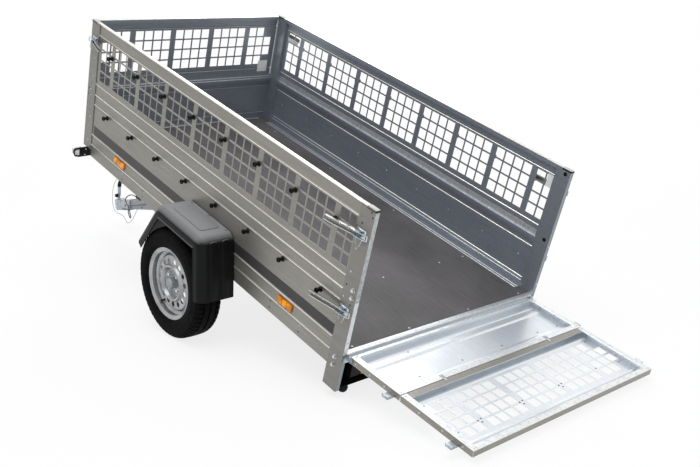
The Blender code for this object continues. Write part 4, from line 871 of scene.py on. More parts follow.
def cut_mesh(made, cutter_bit):
    """Cuts a bit out of a piece for good."""
    mesh = bpy.data.meshes.new("cutter")
    cutter_bit.to_mesh(mesh)
    cutter_bit.free()
    cutter = added("cutter", mesh)
    cutter.matrix_world = made.matrix_world
    change = made.modifiers.new("cut", "BOOLEAN")
    change.operation = "DIFFERENCE"
    change.object = cutter
    change.solver = "EXACT"
    graph = bpy.context.evaluated_depsgraph_get()
    result = bpy.data.meshes.new_from_object(made.evaluated_get(graph))
    made.modifiers.clear()
    made.data = result
    bpy.data.objects.remove(cutter)
    bpy.data.meshes.remove(mesh)


VENTS = 15
VENT_CIRCLE = 0.111
VENT_RADIUS = 0.0142
BOLT_CIRCLE = 0.049
BOLTS = 4
VALVE_TURN = 2.45


def turns(count):
    """Angles spread evenly round a wheel."""
    return [math.tau * (k + 0.5) / count for k in range(count)]


def rim_bit():
    """A pressed steel wheel: barrel with flanges and humps, and its dished disc."""
    shape = Shape()
    barrel = mm(((178, 67), (181.5, 65.5), (179, 60), (170, 58.5), (167.5, 56), (166, 38), (150, 27),
                 (148.5, 23), (148.5, -23), (150, -33), (166, -42), (167.5, -56), (170, -58.5), (179, -60),
                 (181.5, -65.5), (178, -67), (174, -64), (163, -61), (161, -40), (145, -31), (144, -23),
                 (144, 21), (145.5, 26), (160, 36), (161.5, 58), (170, 62.5), (174.5, 65)))
    shape.take(turned(barrel, 72, True), 0, AXLE_TURN)
    disc = mm(((143, 12), (141.5, 30), (137, 37.5), (130, 40), (118, 40.5), (98, 41), (94.5, 45),
               (90.5, 53.5), (86, 56), (81.5, 54.5), (77, 48), (72.5, 34), (69, 30), (40, 28.5), (32, 30),
               (29.5, 29), (29.5, 23), (65.5, 22.5), (70, 27), (74, 43), (79, 49.5), (85, 51.5), (88.5, 50),
               (92, 40), (96, 36.5), (118, 36), (129, 35.5), (135, 33.5), (138, 28), (140, 12)))
    shape.take(turned(disc, 72, True), 0, AXLE_TURN)
    return shape


def wheel_cutters():
    """The vents' holes."""
    cutters = Shape()
    for turn in turns(VENTS):
        cutters.take(prism(circle(VENT_RADIUS, 20), 0.0, 0.055), 0,
                     around(turn, 0.0, VENT_CIRCLE) @ AXLE_TURN)
    return cutters.mesh


def make_wheels():
    """Tyres, pressed wheels with their vents, bolts and centre caps."""
    for side, sign in SIDES:
        place = moved(sign * WHEEL_X, HUB.y,
                      HUB.z) @ (Matrix.Identity(4) if sign > 0 else Matrix.Rotation(math.pi, 4, "Z"))
        body = "wheel_" + side
        Shape().take(tyre_bit()).turn_into("tyre_%s_treaded" % side, ("tyre",), body, "tyre_rubber", place,
                                           ("tyre_" + side,), 40.0)
        rim = rim_bit().turn_into("rim_%s_pressed" % side, ("wheel",), body, "silver_wheel", place,
                                  ("rim_" + side,), 30.0)
        cut_mesh(rim, wheel_cutters())
        details = Shape()
        for turn in turns(VENTS):
            lip = [(0.0, y, z) for y, z in circle(VENT_RADIUS, 20)]
            details.take(sweep(lip, circle(0.0008, 6), True, (1.0, 0.0, 0.0)), 0,
                         around(turn, 0.0402, VENT_CIRCLE))
        for turn in turns(BOLTS):
            spot = around(turn, 0.0283, BOLT_CIRCLE) @ AXLE_TURN
            details.take(turned(mm(((0, 0), (13, 0), (11.8, 4), (0, 4))), 20), 1, spot)
            details.take(hex_bolt(0.0098, 0.014), 1, spot)
        # Centre cap pressed over the hub nut, with its rolled edge
        details.take(turned(mm(((28.5, 0), (29, 3), (24.5, 5), (22.5, 8), (21.5, 19), (19, 23), (15, 24.5),
                                (0, 25))), 36), 3, moved(0.029, 0.0, 0.0) @ AXLE_TURN)
        # Tyre valve
        spot = around(VALVE_TURN, 0.028, 0.15) @ AXLE_TURN
        details.take(turned(mm(((0, 0), (5.2, 0), (4.8, 12), (3.8, 14), (3.8, 26), (0, 27))), 14), 2, spot)
        details.turn_into("wheel_%s_fastenings" % side, ("wheel", "screw", "rubber", "frame"), body,
                          "silver_wheel", place)


# Fenders

FENDER_REAR = 0.782
FENDER_LENGTH = 0.61
FENDER_FOOT = -0.168
FENDER_HEIGHT = 0.304
FENDER_INNER = 0.6453
FENDER_ARCH_SHARES = (
    # along its length, up its height: rear foot to front foot
    (0.0, 0.0), (0.103, 0.908), (0.157, 1.0), (0.743, 1.0), (0.797, 0.898), (1.0, 0.141),
)


def fender_line(depth):
    """The arch, offset inwards by a depth, as points along the bed and up."""
    corners = [Vector((FENDER_REAR + FENDER_LENGTH * a, FENDER_FOOT + FENDER_HEIGHT * b))
               for a, b in FENDER_ARCH_SHARES]
    made = []
    for at, corner in enumerate(corners):
        before = (corner - corners[at - 1]).normalized() if at else None
        after = (corners[at + 1] - corner).normalized() if at < len(corners) - 1 else None
        before = before or after
        after = after or before
        normals = [Vector((way.y, -way.x)) for way in (before, after)]
        mitre = (normals[0] + normals[1]).normalized()
        made.append(corner + mitre * (depth / max(mitre.dot(normals[0]), 0.5)))
    return made


def fender_shell():
    """The fender's skin: flat crown, rolled outer shoulder, side skirt and a bead along its edge."""
    # across from the wall, in from the crown, then back on the underside
    section = mm(((0, 0), (150, 0), (157, 1.2), (164, 4.6), (179, 17), (185, 23.5), (188.5, 31), (189.7, 40),
                  (189.7, 56), (191.5, 57.5), (192.5, 60), (191.5, 62.5), (186, 62.5), (185.5, 40),
                  (183.5, 32), (176, 20.5), (161.5, 8.5), (156, 5), (150, 4), (0, 4)))
    rings = [[(FENDER_INNER + across, *point)
              for point in bent([tuple(p) for p in fender_line(depth)], 0.03, 4)]
             for across, depth in section]
    return loft(list(zip(*rings)))


def make_fenders():
    """Moulded fenders with a raised crown panel, ribs down the rear slope and their screws."""
    crown = FENDER_FOOT + FENDER_HEIGHT
    for side, sign in SIDES:
        flip = flipped(sign)
        shape = Shape()
        shape.take(fender_shell(), 0, flip)
        # Raised panel on the crown
        panel = round_box(0.668, 0.935, 0.778, 1.19, 0.022, 5)
        shape.take(prism(panel, crown - 0.002, crown + 0.0022, 0.0016, 2), 0, flip)
        # Two ribs with round tops down the rear slope
        foot, knee = [Vector((FENDER_REAR + FENDER_LENGTH * a, FENDER_FOOT + FENDER_HEIGHT * b))
                      for a, b in FENDER_ARCH_SHARES[:2]]
        slope = (knee - foot).normalized()
        normal = Vector((-slope.y, slope.x))
        for near, far in ((0.672, 0.716), (0.738, 0.782)):
            outline = rounded(((near, 0.006), (far, 0.006), (far, (knee - foot).length + 0.014),
                               (near, (knee - foot).length + 0.014)), 0.018, 5)
            place = Matrix(((1.0, 0.0, 0.0, 0.0), (0.0, slope.x, normal.x, foot.x),
                            (0.0, slope.y, normal.y, foot.y), (0.0, 0.0, 0.0, 1.0)))
            shape.take(prism(outline, -0.002, 0.004, 0.003, 3), 0, flip @ place)
        # Inner flange against the wall, seen from below
        line = [(FENDER_INNER + 0.002, *point)
                for point in bent([tuple(p) for p in fender_line(0.012)], 0.03, 4)]
        shape.take(sweep(line, mm(((-10, -1.5), (10, -1.5), (10, 1.5), (-10, 1.5))),
                         up=(1.0, 0.0, 0.0)), 0, flip)
        for y in (0.905, 1.06, 1.205):
            shape.take(screw_head(0.007, 0.0022), 0,
                       flip @ facing((FENDER_INNER + 0.01, y, crown), (0.0, 0.0, 1.0)))
        shape.turn_into("fender_%s_moulded" % side, ("fender",), "bed", "black_plastic", BED,
                        ("fender_" + side,), 38.0)


# Side walls

def wall_place(side_sign, y, z, out=BED_HALF):
    """A place on a side wall's outer face, looking outwards."""
    return facing((side_sign * out, y, z), (side_sign, 0.0, 0.0))


def make_labels():
    """A blank label and a blank plate on the right wall's inner face."""
    plates = Shape()
    inward = Matrix(((0, 0, -1, INNER), (1, 0, 0, 0), (0, 1, 0, 0), (0, 0, 0, 1)))
    for near, far, low, high, finish in ((0.092, 0.13, 0.552, 0.618, 0), (2.15, 2.25, 0.56, 0.582, 1)):
        plates.take(prism(round_box(near, low, far, high, 0.002, 2), -0.0002, 0.0006, 0.0001, 1),
                    finish, inward)
    plates.turn_into("side_right_labels", ("label", "plate"), "bed", "galvanised_steel", BED)


def make_side_trim():
    """Ridge crests and top folds painted bright as highlights, the black stripe, the amber reflectors and
    blank labels.
    """
    sizes = bpy.context.scene.trailer_sizes
    half = sizes.crest_width / 2
    rear, front = POST_WIDTH + 0.003, BED_LENGTH - POST_WIDTH - 0.003
    make_labels()
    for side, sign in SIDES:
        flip = flipped(sign)
        crests = Shape()
        # Each ridge gets a strip in the crest finish outside and a lip inside: painted highlights along the
        # ridge
        for z in RIDGES:
            crests.take(block((BED_HALF - 0.001, rear, z - half), (BED_HALF + 0.0006, front, z + half),
                              0.0005), 0, flip)
            lip = ((INNER + 0.0004, z + 0.0028), (INNER - 0.0024, z + 0.0004), (INNER - 0.0024, z - 0.0004),
                   (INNER + 0.0004, z - 0.0014))
            crests.take(prism(lip, -front, -rear, 0.0003, 1), 0, flip @ ALONG)
        # The lower board's upper fold, under the mesh tier, and the wall's top fold, painted bright as
        # highlights
        crests.take(block((SKIN - 0.0005, rear, SPLIT_Z - 0.0045),
                          (BED_HALF + 0.0002, front, SPLIT_Z + 0.0012), 0.0006), 0, flip)
        crests.take(block((INNER - 0.003, rear, SPLIT_Z - 0.003), (INNER + 0.0004, front, SPLIT_Z + 0.0016),
                          0.0006), 0, flip)
        # The band inside over the split leans up and is painted pale, a painted highlight for the light it
        # catches
        crests.take(block((INNER - 0.0004, rear, SPLIT_Z + 0.003), (INNER + 0.0002, front, RIDGES[3] - 0.026),
                          0.0001, 1), 1, flip)
        crests.take(block((BED_HALF - FOLD_DEPTH + 0.0004, LID_LENGTH + 0.003, WALL_TOP + 0.0002),
                          (BED_HALF + 0.0008, BED_LENGTH - LID_LENGTH - 0.003, WALL_TOP + 0.005), 0.0012,
                          2), 0, flip)
        crests.turn_into("side_%s_folds" % side, ("crest", "rim"), "bed", "galvanised_steel", BED)
        stripe = Shape()
        low = RIDGES[1] + 0.0055
        stripe.take(block((SKIN - 0.0003, rear - 0.001, low),
                          (SKIN + PROUD, front - 0.012, low + sizes.stripe_width), 0.0001, 1), 0, flip)
        stripe.turn_into("side_%s_stripe" % side, ("stripe",), "bed", "black_plastic", BED)
        lamps = Shape()
        on_skin = flip @ moved(SKIN, 0.0, 0.0) @ ACROSS
        for y in (0.4185, 1.945):
            lamps.take(prism(round_box(y - 0.056, -0.0075, y + 0.056, 0.03, 0.004, 3), 0.0, 0.003,
                             0.0006), 1, on_skin)
            for near, far in mm(((-53, -19), (-16.5, 16.5), (19, 53))):
                cell = round_box(y + near, -0.005, y + far, 0.0275, 0.003, 3)
                lamps.take(prism(cell, 0.002, 0.0085, 0.0018, 2), 0, on_skin)
        lamps.turn_into("side_%s_reflectors" % side, ("amber", "amber_deep"), "bed", "lamp_lens", BED)
        dots = Shape()
        for y, z, finish in ((1.908, -0.068, 1), (1.91, -0.034, 0), (1.689, -0.034, 1), (1.686, -0.068, 1),
                             (0.52, -0.034, 1), (0.52, -0.068, 1), (0.3, -0.034, 0), (0.3, -0.068, 1)):
            bit = mark(0.0042) if finish else screw_head(0.0048, 0.0022)
            dots.take(bit, finish, wall_place(sign, y, z, SKIN))
        # Screws that hold the floor's angle, inside along the foot of the wall
        for k in range(9):
            dots.take(screw_head(sizes.screw_radius * 0.8, 0.002), 0,
                      facing((sign * (INNER - 0.0002), 0.16 + k * 0.255, 0.15), (-sign, 0.0, 0.0)))
        dots.turn_into("side_%s_fasteners" % side, ("screw", "hole"), "bed", "zinc_plated_steel", BED)


HOOK_FIRST = 0.217
HOOK_PITCH = 0.2722
HOOK_COUNT = 8


def rope_hook(radius, stand):
    """A moulded rope button: round foot, waisted neck, thick button with a round recess."""
    foot = ((0.0, -0.0004), (radius * 1.05, -0.0004), (radius * 1.05, stand * 0.12),
            (radius * 0.8, stand * 0.24), (radius * 0.52, stand * 0.32), (radius * 0.48, stand * 0.58),
            (radius * 0.9, stand * 0.66), (radius, stand * 0.72), (radius, stand * 0.92),
            (radius * 0.9, stand), (radius * 0.5, stand), (radius * 0.44, stand * 0.86), (0.0, stand * 0.86))
    return turned(foot, 24)


def make_rope_hooks():
    """Eight rope buttons along each side at two heights."""
    sizes = bpy.context.scene.trailer_sizes
    for side, sign in SIDES:
        for level, z in (("lower", 0.203), ("upper", 0.5445)):
            shape = Shape()
            for k in range(HOOK_COUNT):
                place = wall_place(sign, HOOK_FIRST + k * HOOK_PITCH, z, SKIN)
                shape.take(rope_hook(sizes.hook_radius, sizes.hook_stand), 0, place)
            shape.turn_into("rope_hooks_%s_%s" % (level, side), ("nylon",), "bed", "black_plastic", BED)


# Latches, drawn along the wall from the pivot: x forwards or back, y up, z outwards

def latch_bit(shape, length, width):
    """One over-centre latch: base, ears, coil spring, channel lever, hook arm and bail."""
    shape.take(prism(round_box(-0.03, -0.018, 0.028, 0.018, 0.005, 3), 0.0004, 0.003, 0.0008, 1), 0)
    for y in (-0.013, 0.013):
        ear = rounded(mm(((-12, 1), (14, 1), (10, 24), (-8, 24))), 0.006, 3)
        shape.take(prism(ear, y - 0.001, y + 0.001, 0.0004, 1), 0, FORWARD)
    # Pivot pin with the coils of its torsion spring
    upright = Matrix.Rotation(math.radians(-90.0), 4, "X")
    shape.take(turned(mm(((0, -17), (5.5, -17), (5.5, -15), (3.6, -14.5), (3.6, 14.5), (5.5, 15), (5.5, 17),
                          (0, 17))), 16), 1, moved(0.0, 0.0, 0.016) @ upright)
    coil = [(0.0072 * math.cos(math.tau * k / 12), -0.0105 + k * 0.0036 / 12,
             0.016 + 0.0072 * math.sin(math.tau * k / 12)) for k in range(12 * 6)]
    shape.take(sweep(coil, circle(0.0016, 6), up=(0.0, 1.0, 0.0)), 2)
    # Lever: a pressed channel with its edges painted bright as highlights, and three rivets, leaning away
    # from the wall
    half = width / 2
    line = bent(((-0.002, 0.0, 0.017), (0.03, -0.0015, 0.021), (length - 0.03, -0.0085, 0.036),
                 (length, -0.01, 0.038)), 0.02, 3)
    channel = [(-half, -0.005), (-half + 0.0012, -0.006), (half - 0.0012, -0.006), (half, -0.005),
               (half, 0.005), (half - 0.0016, 0.005), (half - 0.0016, -0.0042), (-half + 0.0016, -0.0042),
               (-half + 0.0016, 0.005), (-half, 0.005)]
    shape.take(sweep(line, channel), 3)
    for near, far in ((-half - 0.0003, -half + 0.0026), (half - 0.0026, half + 0.0003)):
        shape.take(sweep(line, [(near, 0.004), (far, 0.004), (far, 0.0058), (near, 0.0058)]), 0)
    for share in (0.3, 0.58, 0.88):
        spot = Vector(line[0]).lerp(Vector(line[-1]), share)
        shape.take(screw_head(0.0035, 0.0022), 0, moved(spot.x, spot.y, spot.z - 0.003))
    # Hook arm to the gate's catch: two straps and the hook's cross rod
    for y in (-0.0105, 0.0105):
        shape.take(sweep([(0.03, y, 0.027), (0.0, y, 0.026), (-0.034, y * 1.05, 0.02),
                          (-0.05, y * 1.05, 0.013)], mm(((-1, -3.5), (1, -3.5), (1, 3.5), (-1, 3.5)))), 0)
    shape.take(sweep([(-0.049, -0.0125, 0.013), (-0.049, 0.0125, 0.013)], circle(0.0026, 8),
                     up=(1.0, 0.0, 0.0)), 0)
    # Wire bail hanging under the pivot
    bail = bent(mm(((14, -10, 12), (4, -46, 18), (-22, -50, 20), (-26, -10, 12))), 0.008, 4)
    shape.take(sweep(bail, circle(0.0016, 6)), 1)
    for x in (-0.022, 0.021):
        shape.take(screw_head(0.0042, 0.0022), 1, moved(x, 0.0, 0.003))


def make_latches():
    """The six latches on the side walls."""
    width = bpy.context.scene.trailer_sizes.lever_width
    for name, pivot, height, heading, length in (("rear_upper", 0.054, 0.562, 1.0, 0.181),
                                                 ("rear_lower", 0.054, 0.199, 1.0, 0.181),
                                                 ("front_upper", 2.311, 0.585, -1.0, 0.126)):
        for side, sign in SIDES:
            shape = Shape()
            latch_bit(shape, length, width)
            place = Matrix(((0.0, 0.0, sign, sign * BED_HALF), (heading, 0.0, 0.0, pivot),
                            (0.0, 1.0, 0.0, height), (0.0, 0.0, 0.0, 1.0)))
            shape.turn_into("latch_%s_%s_sprung" % (name, side), ("latch", "zinc", "spring", "edge"), "bed",
                            "zinc_plated_steel", BED @ place, ("latch_%s_%s" % (name, side),))


# Corner posts

def make_posts():
    """Lids over black plugs, a rear face painted lit on the left, bolts, screws and punched holes."""
    for side, sign in SIDES:
        flip = flipped(sign)
        shape = Shape()
        # Black plug rim under a grey lid, over the tube at the outer end of each post
        for near, far in ((0.0, LID_LENGTH), (BED_LENGTH - LID_LENGTH, BED_LENGTH)):
            rim = round_box(POST_FACE - 0.001, near - 0.0022, BED_HALF + 0.0022, far + 0.0022, 0.003, 2)
            shape.take(prism(rim, WALL_TOP - 0.0045, WALL_TOP + 0.0032, 0.0008, 1), 0, flip)
            lid = round_box(POST_FACE + 0.0002, near - 0.001, BED_HALF + 0.001, far + 0.001, 0.004, 2)
            shape.take(prism(lid, WALL_TOP + 0.003, WALL_TOP + 0.0062, 0.0014, 2), 1, flip)
        # Painted light: the rear-left post's rear face takes a pale strip below and a lighter grey above
        if sign < 0:
            for low, high, finish in ((0.0, 0.26, 5), (0.26, WALL_TOP - 0.008, 2)):
                shape.take(block((POST_FACE + 0.001, -0.0006, low), (BED_HALF - 0.0004, 0.0004, high), 0.0003,
                                 1), finish, flip)
        for x, z in mm(((633, 631), (633, 273), (633, 60))):
            shape.take(screw_head(0.0046, 0.002), 3, facing((sign * x, -0.0006, z), BACKWARDS, UP))
        for y, z in mm(((21, 669), (10, 650), (60, 605), (71, 313), (25, 238))):
            shape.take(mark(0.0042), 4, wall_place(sign, y, z))
        for y, z in mm(((62, 487), (62, 379), (74, 255))):
            shape.take(screw_head(0.0045, 0.002), 3, wall_place(sign, y, z))
        for y, z in mm(((25, 308), (23, 272), (44, -32), (46, -74))):
            shape.take(washer(0.0105, 0.0015), 3, wall_place(sign, y, z))
            shape.take(hex_bolt(0.0085, 0.009), 3, wall_place(sign, y, z, BED_HALF + 0.0012))
        for y, z in mm(((2302, 488), (2305, 379), (2308, 140), (2311, -3), (2322, 300), (2323, 265))):
            shape.take(screw_head(0.0042, 0.002), 3, wall_place(sign, y, z))
        for y, z in ((2.341, 0.3), (2.342, 0.265)):
            shape.take(mark(0.0056), 4, wall_place(sign, y, z))
        # Round plugs in the post's inner face, near its top and over the split
        for z in (0.661, 0.303):
            shape.take(turned(mm(((0, 0), (10.5, 0), (10, 1.6), (6, 2.2), (0, 1.8))), 20), 0,
                       facing((sign * POST_FACE, 0.028, z), (-sign, 0.0, 0.0)))
        # Front faces of the front posts
        for z in (0.64, 0.44, 0.15, 0.02):
            shape.take(screw_head(0.0044, 0.002), 3, facing((sign * 0.633, BED_LENGTH, z), FORWARDS, UP))
        shape.turn_into("posts_%s_fittings" % side, ("housing", "lid", "painted_lit_grey", "screw", "hole", "rim"),
                        "bed", "galvanised_steel", BED)


# Floor

def make_floor_details():
    """Screws through the plywood, the light strip along the rear sill and the side angles' edges."""
    radius = bpy.context.scene.trailer_sizes.screw_radius
    shape = Shape()
    for y in (0.038, 0.433, 0.985, 1.56, 2.13):
        for x in (-0.56, -0.215, 0.183, 0.56):
            if y == 0.433 and abs(x) < 0.5:
                continue
            shape.take(screw_head(radius, 0.0018), 0, moved(x, y, 0.0))
    for x in (-0.019, 0.38):
        shape.take(screw_head(radius, 0.0018), 0, moved(x, 0.433, 0.0))
    # Folded strip that covers the plywood's rear edge, painted bright as a highlight
    shape.take(block((-POST_FACE + 0.002, 0.0002, -0.0002), (POST_FACE - 0.002, 0.0215, 0.0022),
                     0.0008, 2), 1)
    shape.take(block((-POST_FACE + 0.002, 0.0006, -0.004), (POST_FACE - 0.002, -0.0022, 0.0016),
                     0.0006, 1), 1)
    # A dark strip on the plywood along the folded strip's front edge is painted shade
    shape.take(block((-POST_FACE + 0.002, 0.0216, -0.0002), (POST_FACE - 0.002, 0.025, 0.0006), 0.0001, 1), 2)
    for k in range(4):
        shape.take(screw_head(radius * 0.8, 0.0016), 0, moved(-0.45 + k * 0.3, 0.011, 0.0022))
    shape.turn_into("floor_fasteners", ("screw", "rim", "hole"), "bed", "zinc_plated_steel", BED)
    # Folds of the angles along the floor's sides, painted bright as highlights: toe, root and upper edge
    edges = Shape()
    for sign in SIGNS:
        flip = flipped(sign)
        rear, front = POST_WIDTH + 0.002, BED_LENGTH - POST_WIDTH - 0.002
        for low, high in (((0.5885, -0.0004), (0.595, 0.0026)), ((0.608, 0.0008), (0.615, 0.0024)),
                          ((0.6342, 0.027), (0.6385, 0.0306))):
            edges.take(block((low[0], rear, low[1]), (high[0], front, high[1]), 0.0008, 1), 0, flip)
    # The floor's front edge is painted bright as a highlight too
    edges.take(block((-0.585, BED_LENGTH - 0.013, 0.0006), (0.585, BED_LENGTH - 0.006, 0.003), 0.0006, 1), 0)
    edges.turn_into("floor_edge_folds", ("rim",), "bed", "galvanised_steel", BED)


# Tailgate

def pressed_step(shape, y, wide, crown, foot, rise):
    """A step pressed across a pan's sheet; crown is its top's share of its width."""
    outline = ((y - wide, foot - 0.001), (y - wide * crown, foot + rise), (y + wide * crown, foot + rise),
               (y + wide, foot - 0.001))
    shape.take(prism(outline, -GATE_INNER + 0.004, GATE_INNER - 0.004, 0.0006, 1), 0, ACROSS)


def pan_sides(shape, far, rim_near, strip_near, low, high):
    """The rounded top rims of a pan's side bars, painted bright as highlights, and the strips on their outer
    faces.
    """
    for sign in SIGNS:
        shape.take(block((sign * (GATE_INNER - 0.0006), far + 0.001, high - 0.0008),
                         (sign * (GATE_HALF + 0.0004), rim_near, high + 0.0008), 0.0007, 1), 1)
        shape.take(block((sign * (GATE_HALF - 0.0002), far + 0.001, low + 0.001),
                         (sign * (GATE_HALF + 0.0003), strip_near, high - 0.0012), 0.0001, 1), 5)


def catch(shape, sign, near, foot):
    """A stepped zinc lug with a rolled outer edge, on the frame's own lug."""
    start, end = GATE_HALF + 0.001, 0.653
    outline = rounded(((start, foot), (end, foot), (end, foot + 0.009), (end - 0.013, foot + 0.013),
                       (start, foot + 0.013)), 0.0022, 2)
    shape.take(prism(outline, near, near + 0.032, 0.0008, 1), 4, flipped(sign) @ ALONG)
    shape.take(pin(0.0042, 0.018, 14), 4, moved(sign * 0.6505, -near - 0.016, foot + 0.0105) @ ROLLED)


def make_tailgate_details():
    """Pressed steps, rims, screws, punched dots, pins and catches of the tailgate and its mesh tier."""
    # The rims are in the rim finish, painted highlights along the folds
    finishes = ("gate", "rim", "screw", "hole", "zinc", "edge")
    inner = GATE_INNER
    high = GATE_DEEP / 2
    skin = GATE_SHEET - high
    board = Shape()
    for y, wide, rise in mm(((-78, 20, 5.5), (-252, 22, 5.5), (-40, 9, 3))):
        pressed_step(board, y, wide, 0.55, skin, rise)
    pan_sides(board, -GATE_END, 0.003, 0.002, -high, high)
    for far, near in ((-GATE_END - 0.0002, -GATE_END + 0.03), (-0.0118, 0.0034)):
        board.take(block((-inner, far, high - 0.0006), (inner, near, high + 0.0008), 0.0007, 1), 1)
    for x, y in mm(((-317, -50), (398, -212), (135, -212), (-134, -212), (-407, -216), (-555, -226),
                    (543, -217))):
        board.take(mark(0.0042), 3, moved(x, y, skin))
    for x, y in mm(((594, -10), (580, -4), (597, -290))):
        for sign in SIGNS:
            board.take(screw_head(0.0042, 0.0018), 2, moved(sign * x, y, high + 0.0008))
    for sign in SIGNS:
        for y in (-0.06, -0.15, -0.24):
            board.take(mark(0.0036), 3, facing((sign * (inner + 0.027), y, -0.004), (-sign, 0.0, 0.0)))
            board.take(screw_head(0.0046, 0.0022), 2, wall_place(sign, y + 0.03, -0.002, GATE_HALF))
        catch(board, sign, 0.244, -high)
        # Junction hinge knuckles seen from above
        board.take(pin(0.0052, 0.02, 16), 4, moved(sign * 0.352, -GATE_END + 0.0008, high - 0.002) @ ROLLED)
        board.take(block((sign * 0.342, -GATE_END + 0.002, high + 0.0004),
                         (sign * 0.362, -GATE_END + 0.026, high + 0.0026), 0.0008, 1), 4)
    board.turn_into("tailgate_board_details", finishes, "tailgate", "galvanised_steel", GATE)

    tier = Shape()
    low = TIER_LOW + GATE_SHEET
    high = TIER_LOW + GATE_DEEP
    near = -TIER_START
    far = near - TIER_LENGTH
    for y, wide, rise in ((-0.052, 0.01, 0.004), (-0.344, 0.011, 0.005)):
        pressed_step(tier, y, wide, 0.5, low, rise)
    pan_sides(tier, far, near - 0.001, near - 0.001, TIER_LOW, high)
    tier.take(block((-inner, far - 0.0003, high - 0.0006), (inner, far + 0.03, high + 0.0008), 0.0007, 1), 1)
    tier.take(block((-GATE_HALF + 0.001, far - 0.0003, TIER_LOW + 0.001),
                    (GATE_HALF - 0.001, far + 0.0002, high - 0.0012), 0.0001, 1), 5)
    # The tier's lip beside the board is a darker grey strip: painted shade along the junction
    tier.take(block((-inner, near - 0.03, high - 0.0006), (inner, near, high + 0.0008), 0.0007, 1), 5)
    # Three punched dots in each wide bar beside the third and fourth rows, and single ones
    for x in (-0.403, -0.14, 0.128):
        for dx, dy in mm(((-10, 0), (12, 4), (0, -16))):
            tier.take(mark(0.0042), 3, moved(x + dx, -0.253 + dy, low))
    for x, y in mm(((400, -248), (-545, -268), (556, -268), (-545, -75), (556, -75))):
        tier.take(mark(0.004), 3, moved(x, y, low))
    for sign in SIGNS:
        for x, y in mm(((597, -16), (597, -392), (584, -388))):
            tier.take(screw_head(0.0042, 0.0018), 2, moved(sign * x, y, high + 0.0008))
        for y in (-0.11, -0.24, -0.35):
            tier.take(screw_head(0.0046, 0.0022), 2, wall_place(sign, y, low + 0.012, GATE_HALF))
        catch(tier, sign, 0.299, TIER_LOW)
    tier.turn_into("tailgate_mesh_details", finishes, "tailgate", "galvanised_steel", TIER)


# Front wall

def make_front_details():
    """Folds and ridge crests painted bright as highlights, and fasteners, of the front board and its mesh
    tier, and a blank label.
    """
    back = BED_LENGTH - (BED_HALF - INNER)
    board = Shape()
    # Ridge crests and folds in the rim finish are painted highlights
    for z in RIDGES[:3]:
        board.take(block((-0.61, back - 0.0024, z - 0.001), (0.61, back + 0.0002, z + 0.0012), 0.0004, 1), 0)
    board.take(block((-0.612, back - 0.015, SPLIT_Z - 0.004), (0.612, back - 0.014, SPLIT_Z - 0.0005),
                     0.0003, 1), 0)
    for sign in SIGNS:
        for z in (0.08, 0.18, 0.25):
            board.take(screw_head(0.0046, 0.0022), 1,
                       facing((sign * 0.575, BED_LENGTH - 0.004, z), FORWARDS, UP))
    board.turn_into("front_board_details", ("rim", "screw"), "bed", "galvanised_steel", BED)
    # The mesh tier, from its hinge line
    base = SPLIT_Z + 0.004
    rear = back - BED_LENGTH - 0.006
    tier = Shape()
    for z in RIDGES[3:]:
        tier.take(block((-0.606, rear - 0.0022, z - base - 0.001), (0.606, rear + 0.0002, z - base + 0.0012),
                        0.0004, 1), 0)
    top = WALL_TOP - base
    tier.take(block((-0.612, rear + 0.0055 - FOLD_DEPTH, top + 0.0002), (0.612, -0.006, top + 0.0034),
                    0.001, 2), 0)
    tier.take(block((-0.612, rear - 0.0052, 0.001), (0.612, rear + 0.0002, 0.0044), 0.0006, 1), 0)
    seen = moved(0.0, rear, 0.0) @ ALONG
    tier.take(prism(round_box(0.512, 0.036, 0.584, 0.108, 0.002, 2), -0.0002, 0.0006, 0.0001, 1), 2, seen)
    for sign in SIGNS:
        for x in (0.578, 0.604):
            tier.take(screw_head(0.0042, 0.002), 1, facing((sign * x, rear, top - 0.012), BACKWARDS, UP))
        tier.take(turned(mm(((0, 0), (6, 0), (6, 3), (4, 4.5), (0, 4.5))), 16), 1,
                  facing((sign * 0.583, 0.0, 0.0), (-sign, 0.0, 0.0)))
    tier.turn_into("front_mesh_details", ("rim", "screw", "label"), "front_mesh_tier",
                   "galvanised_steel", FRONT)
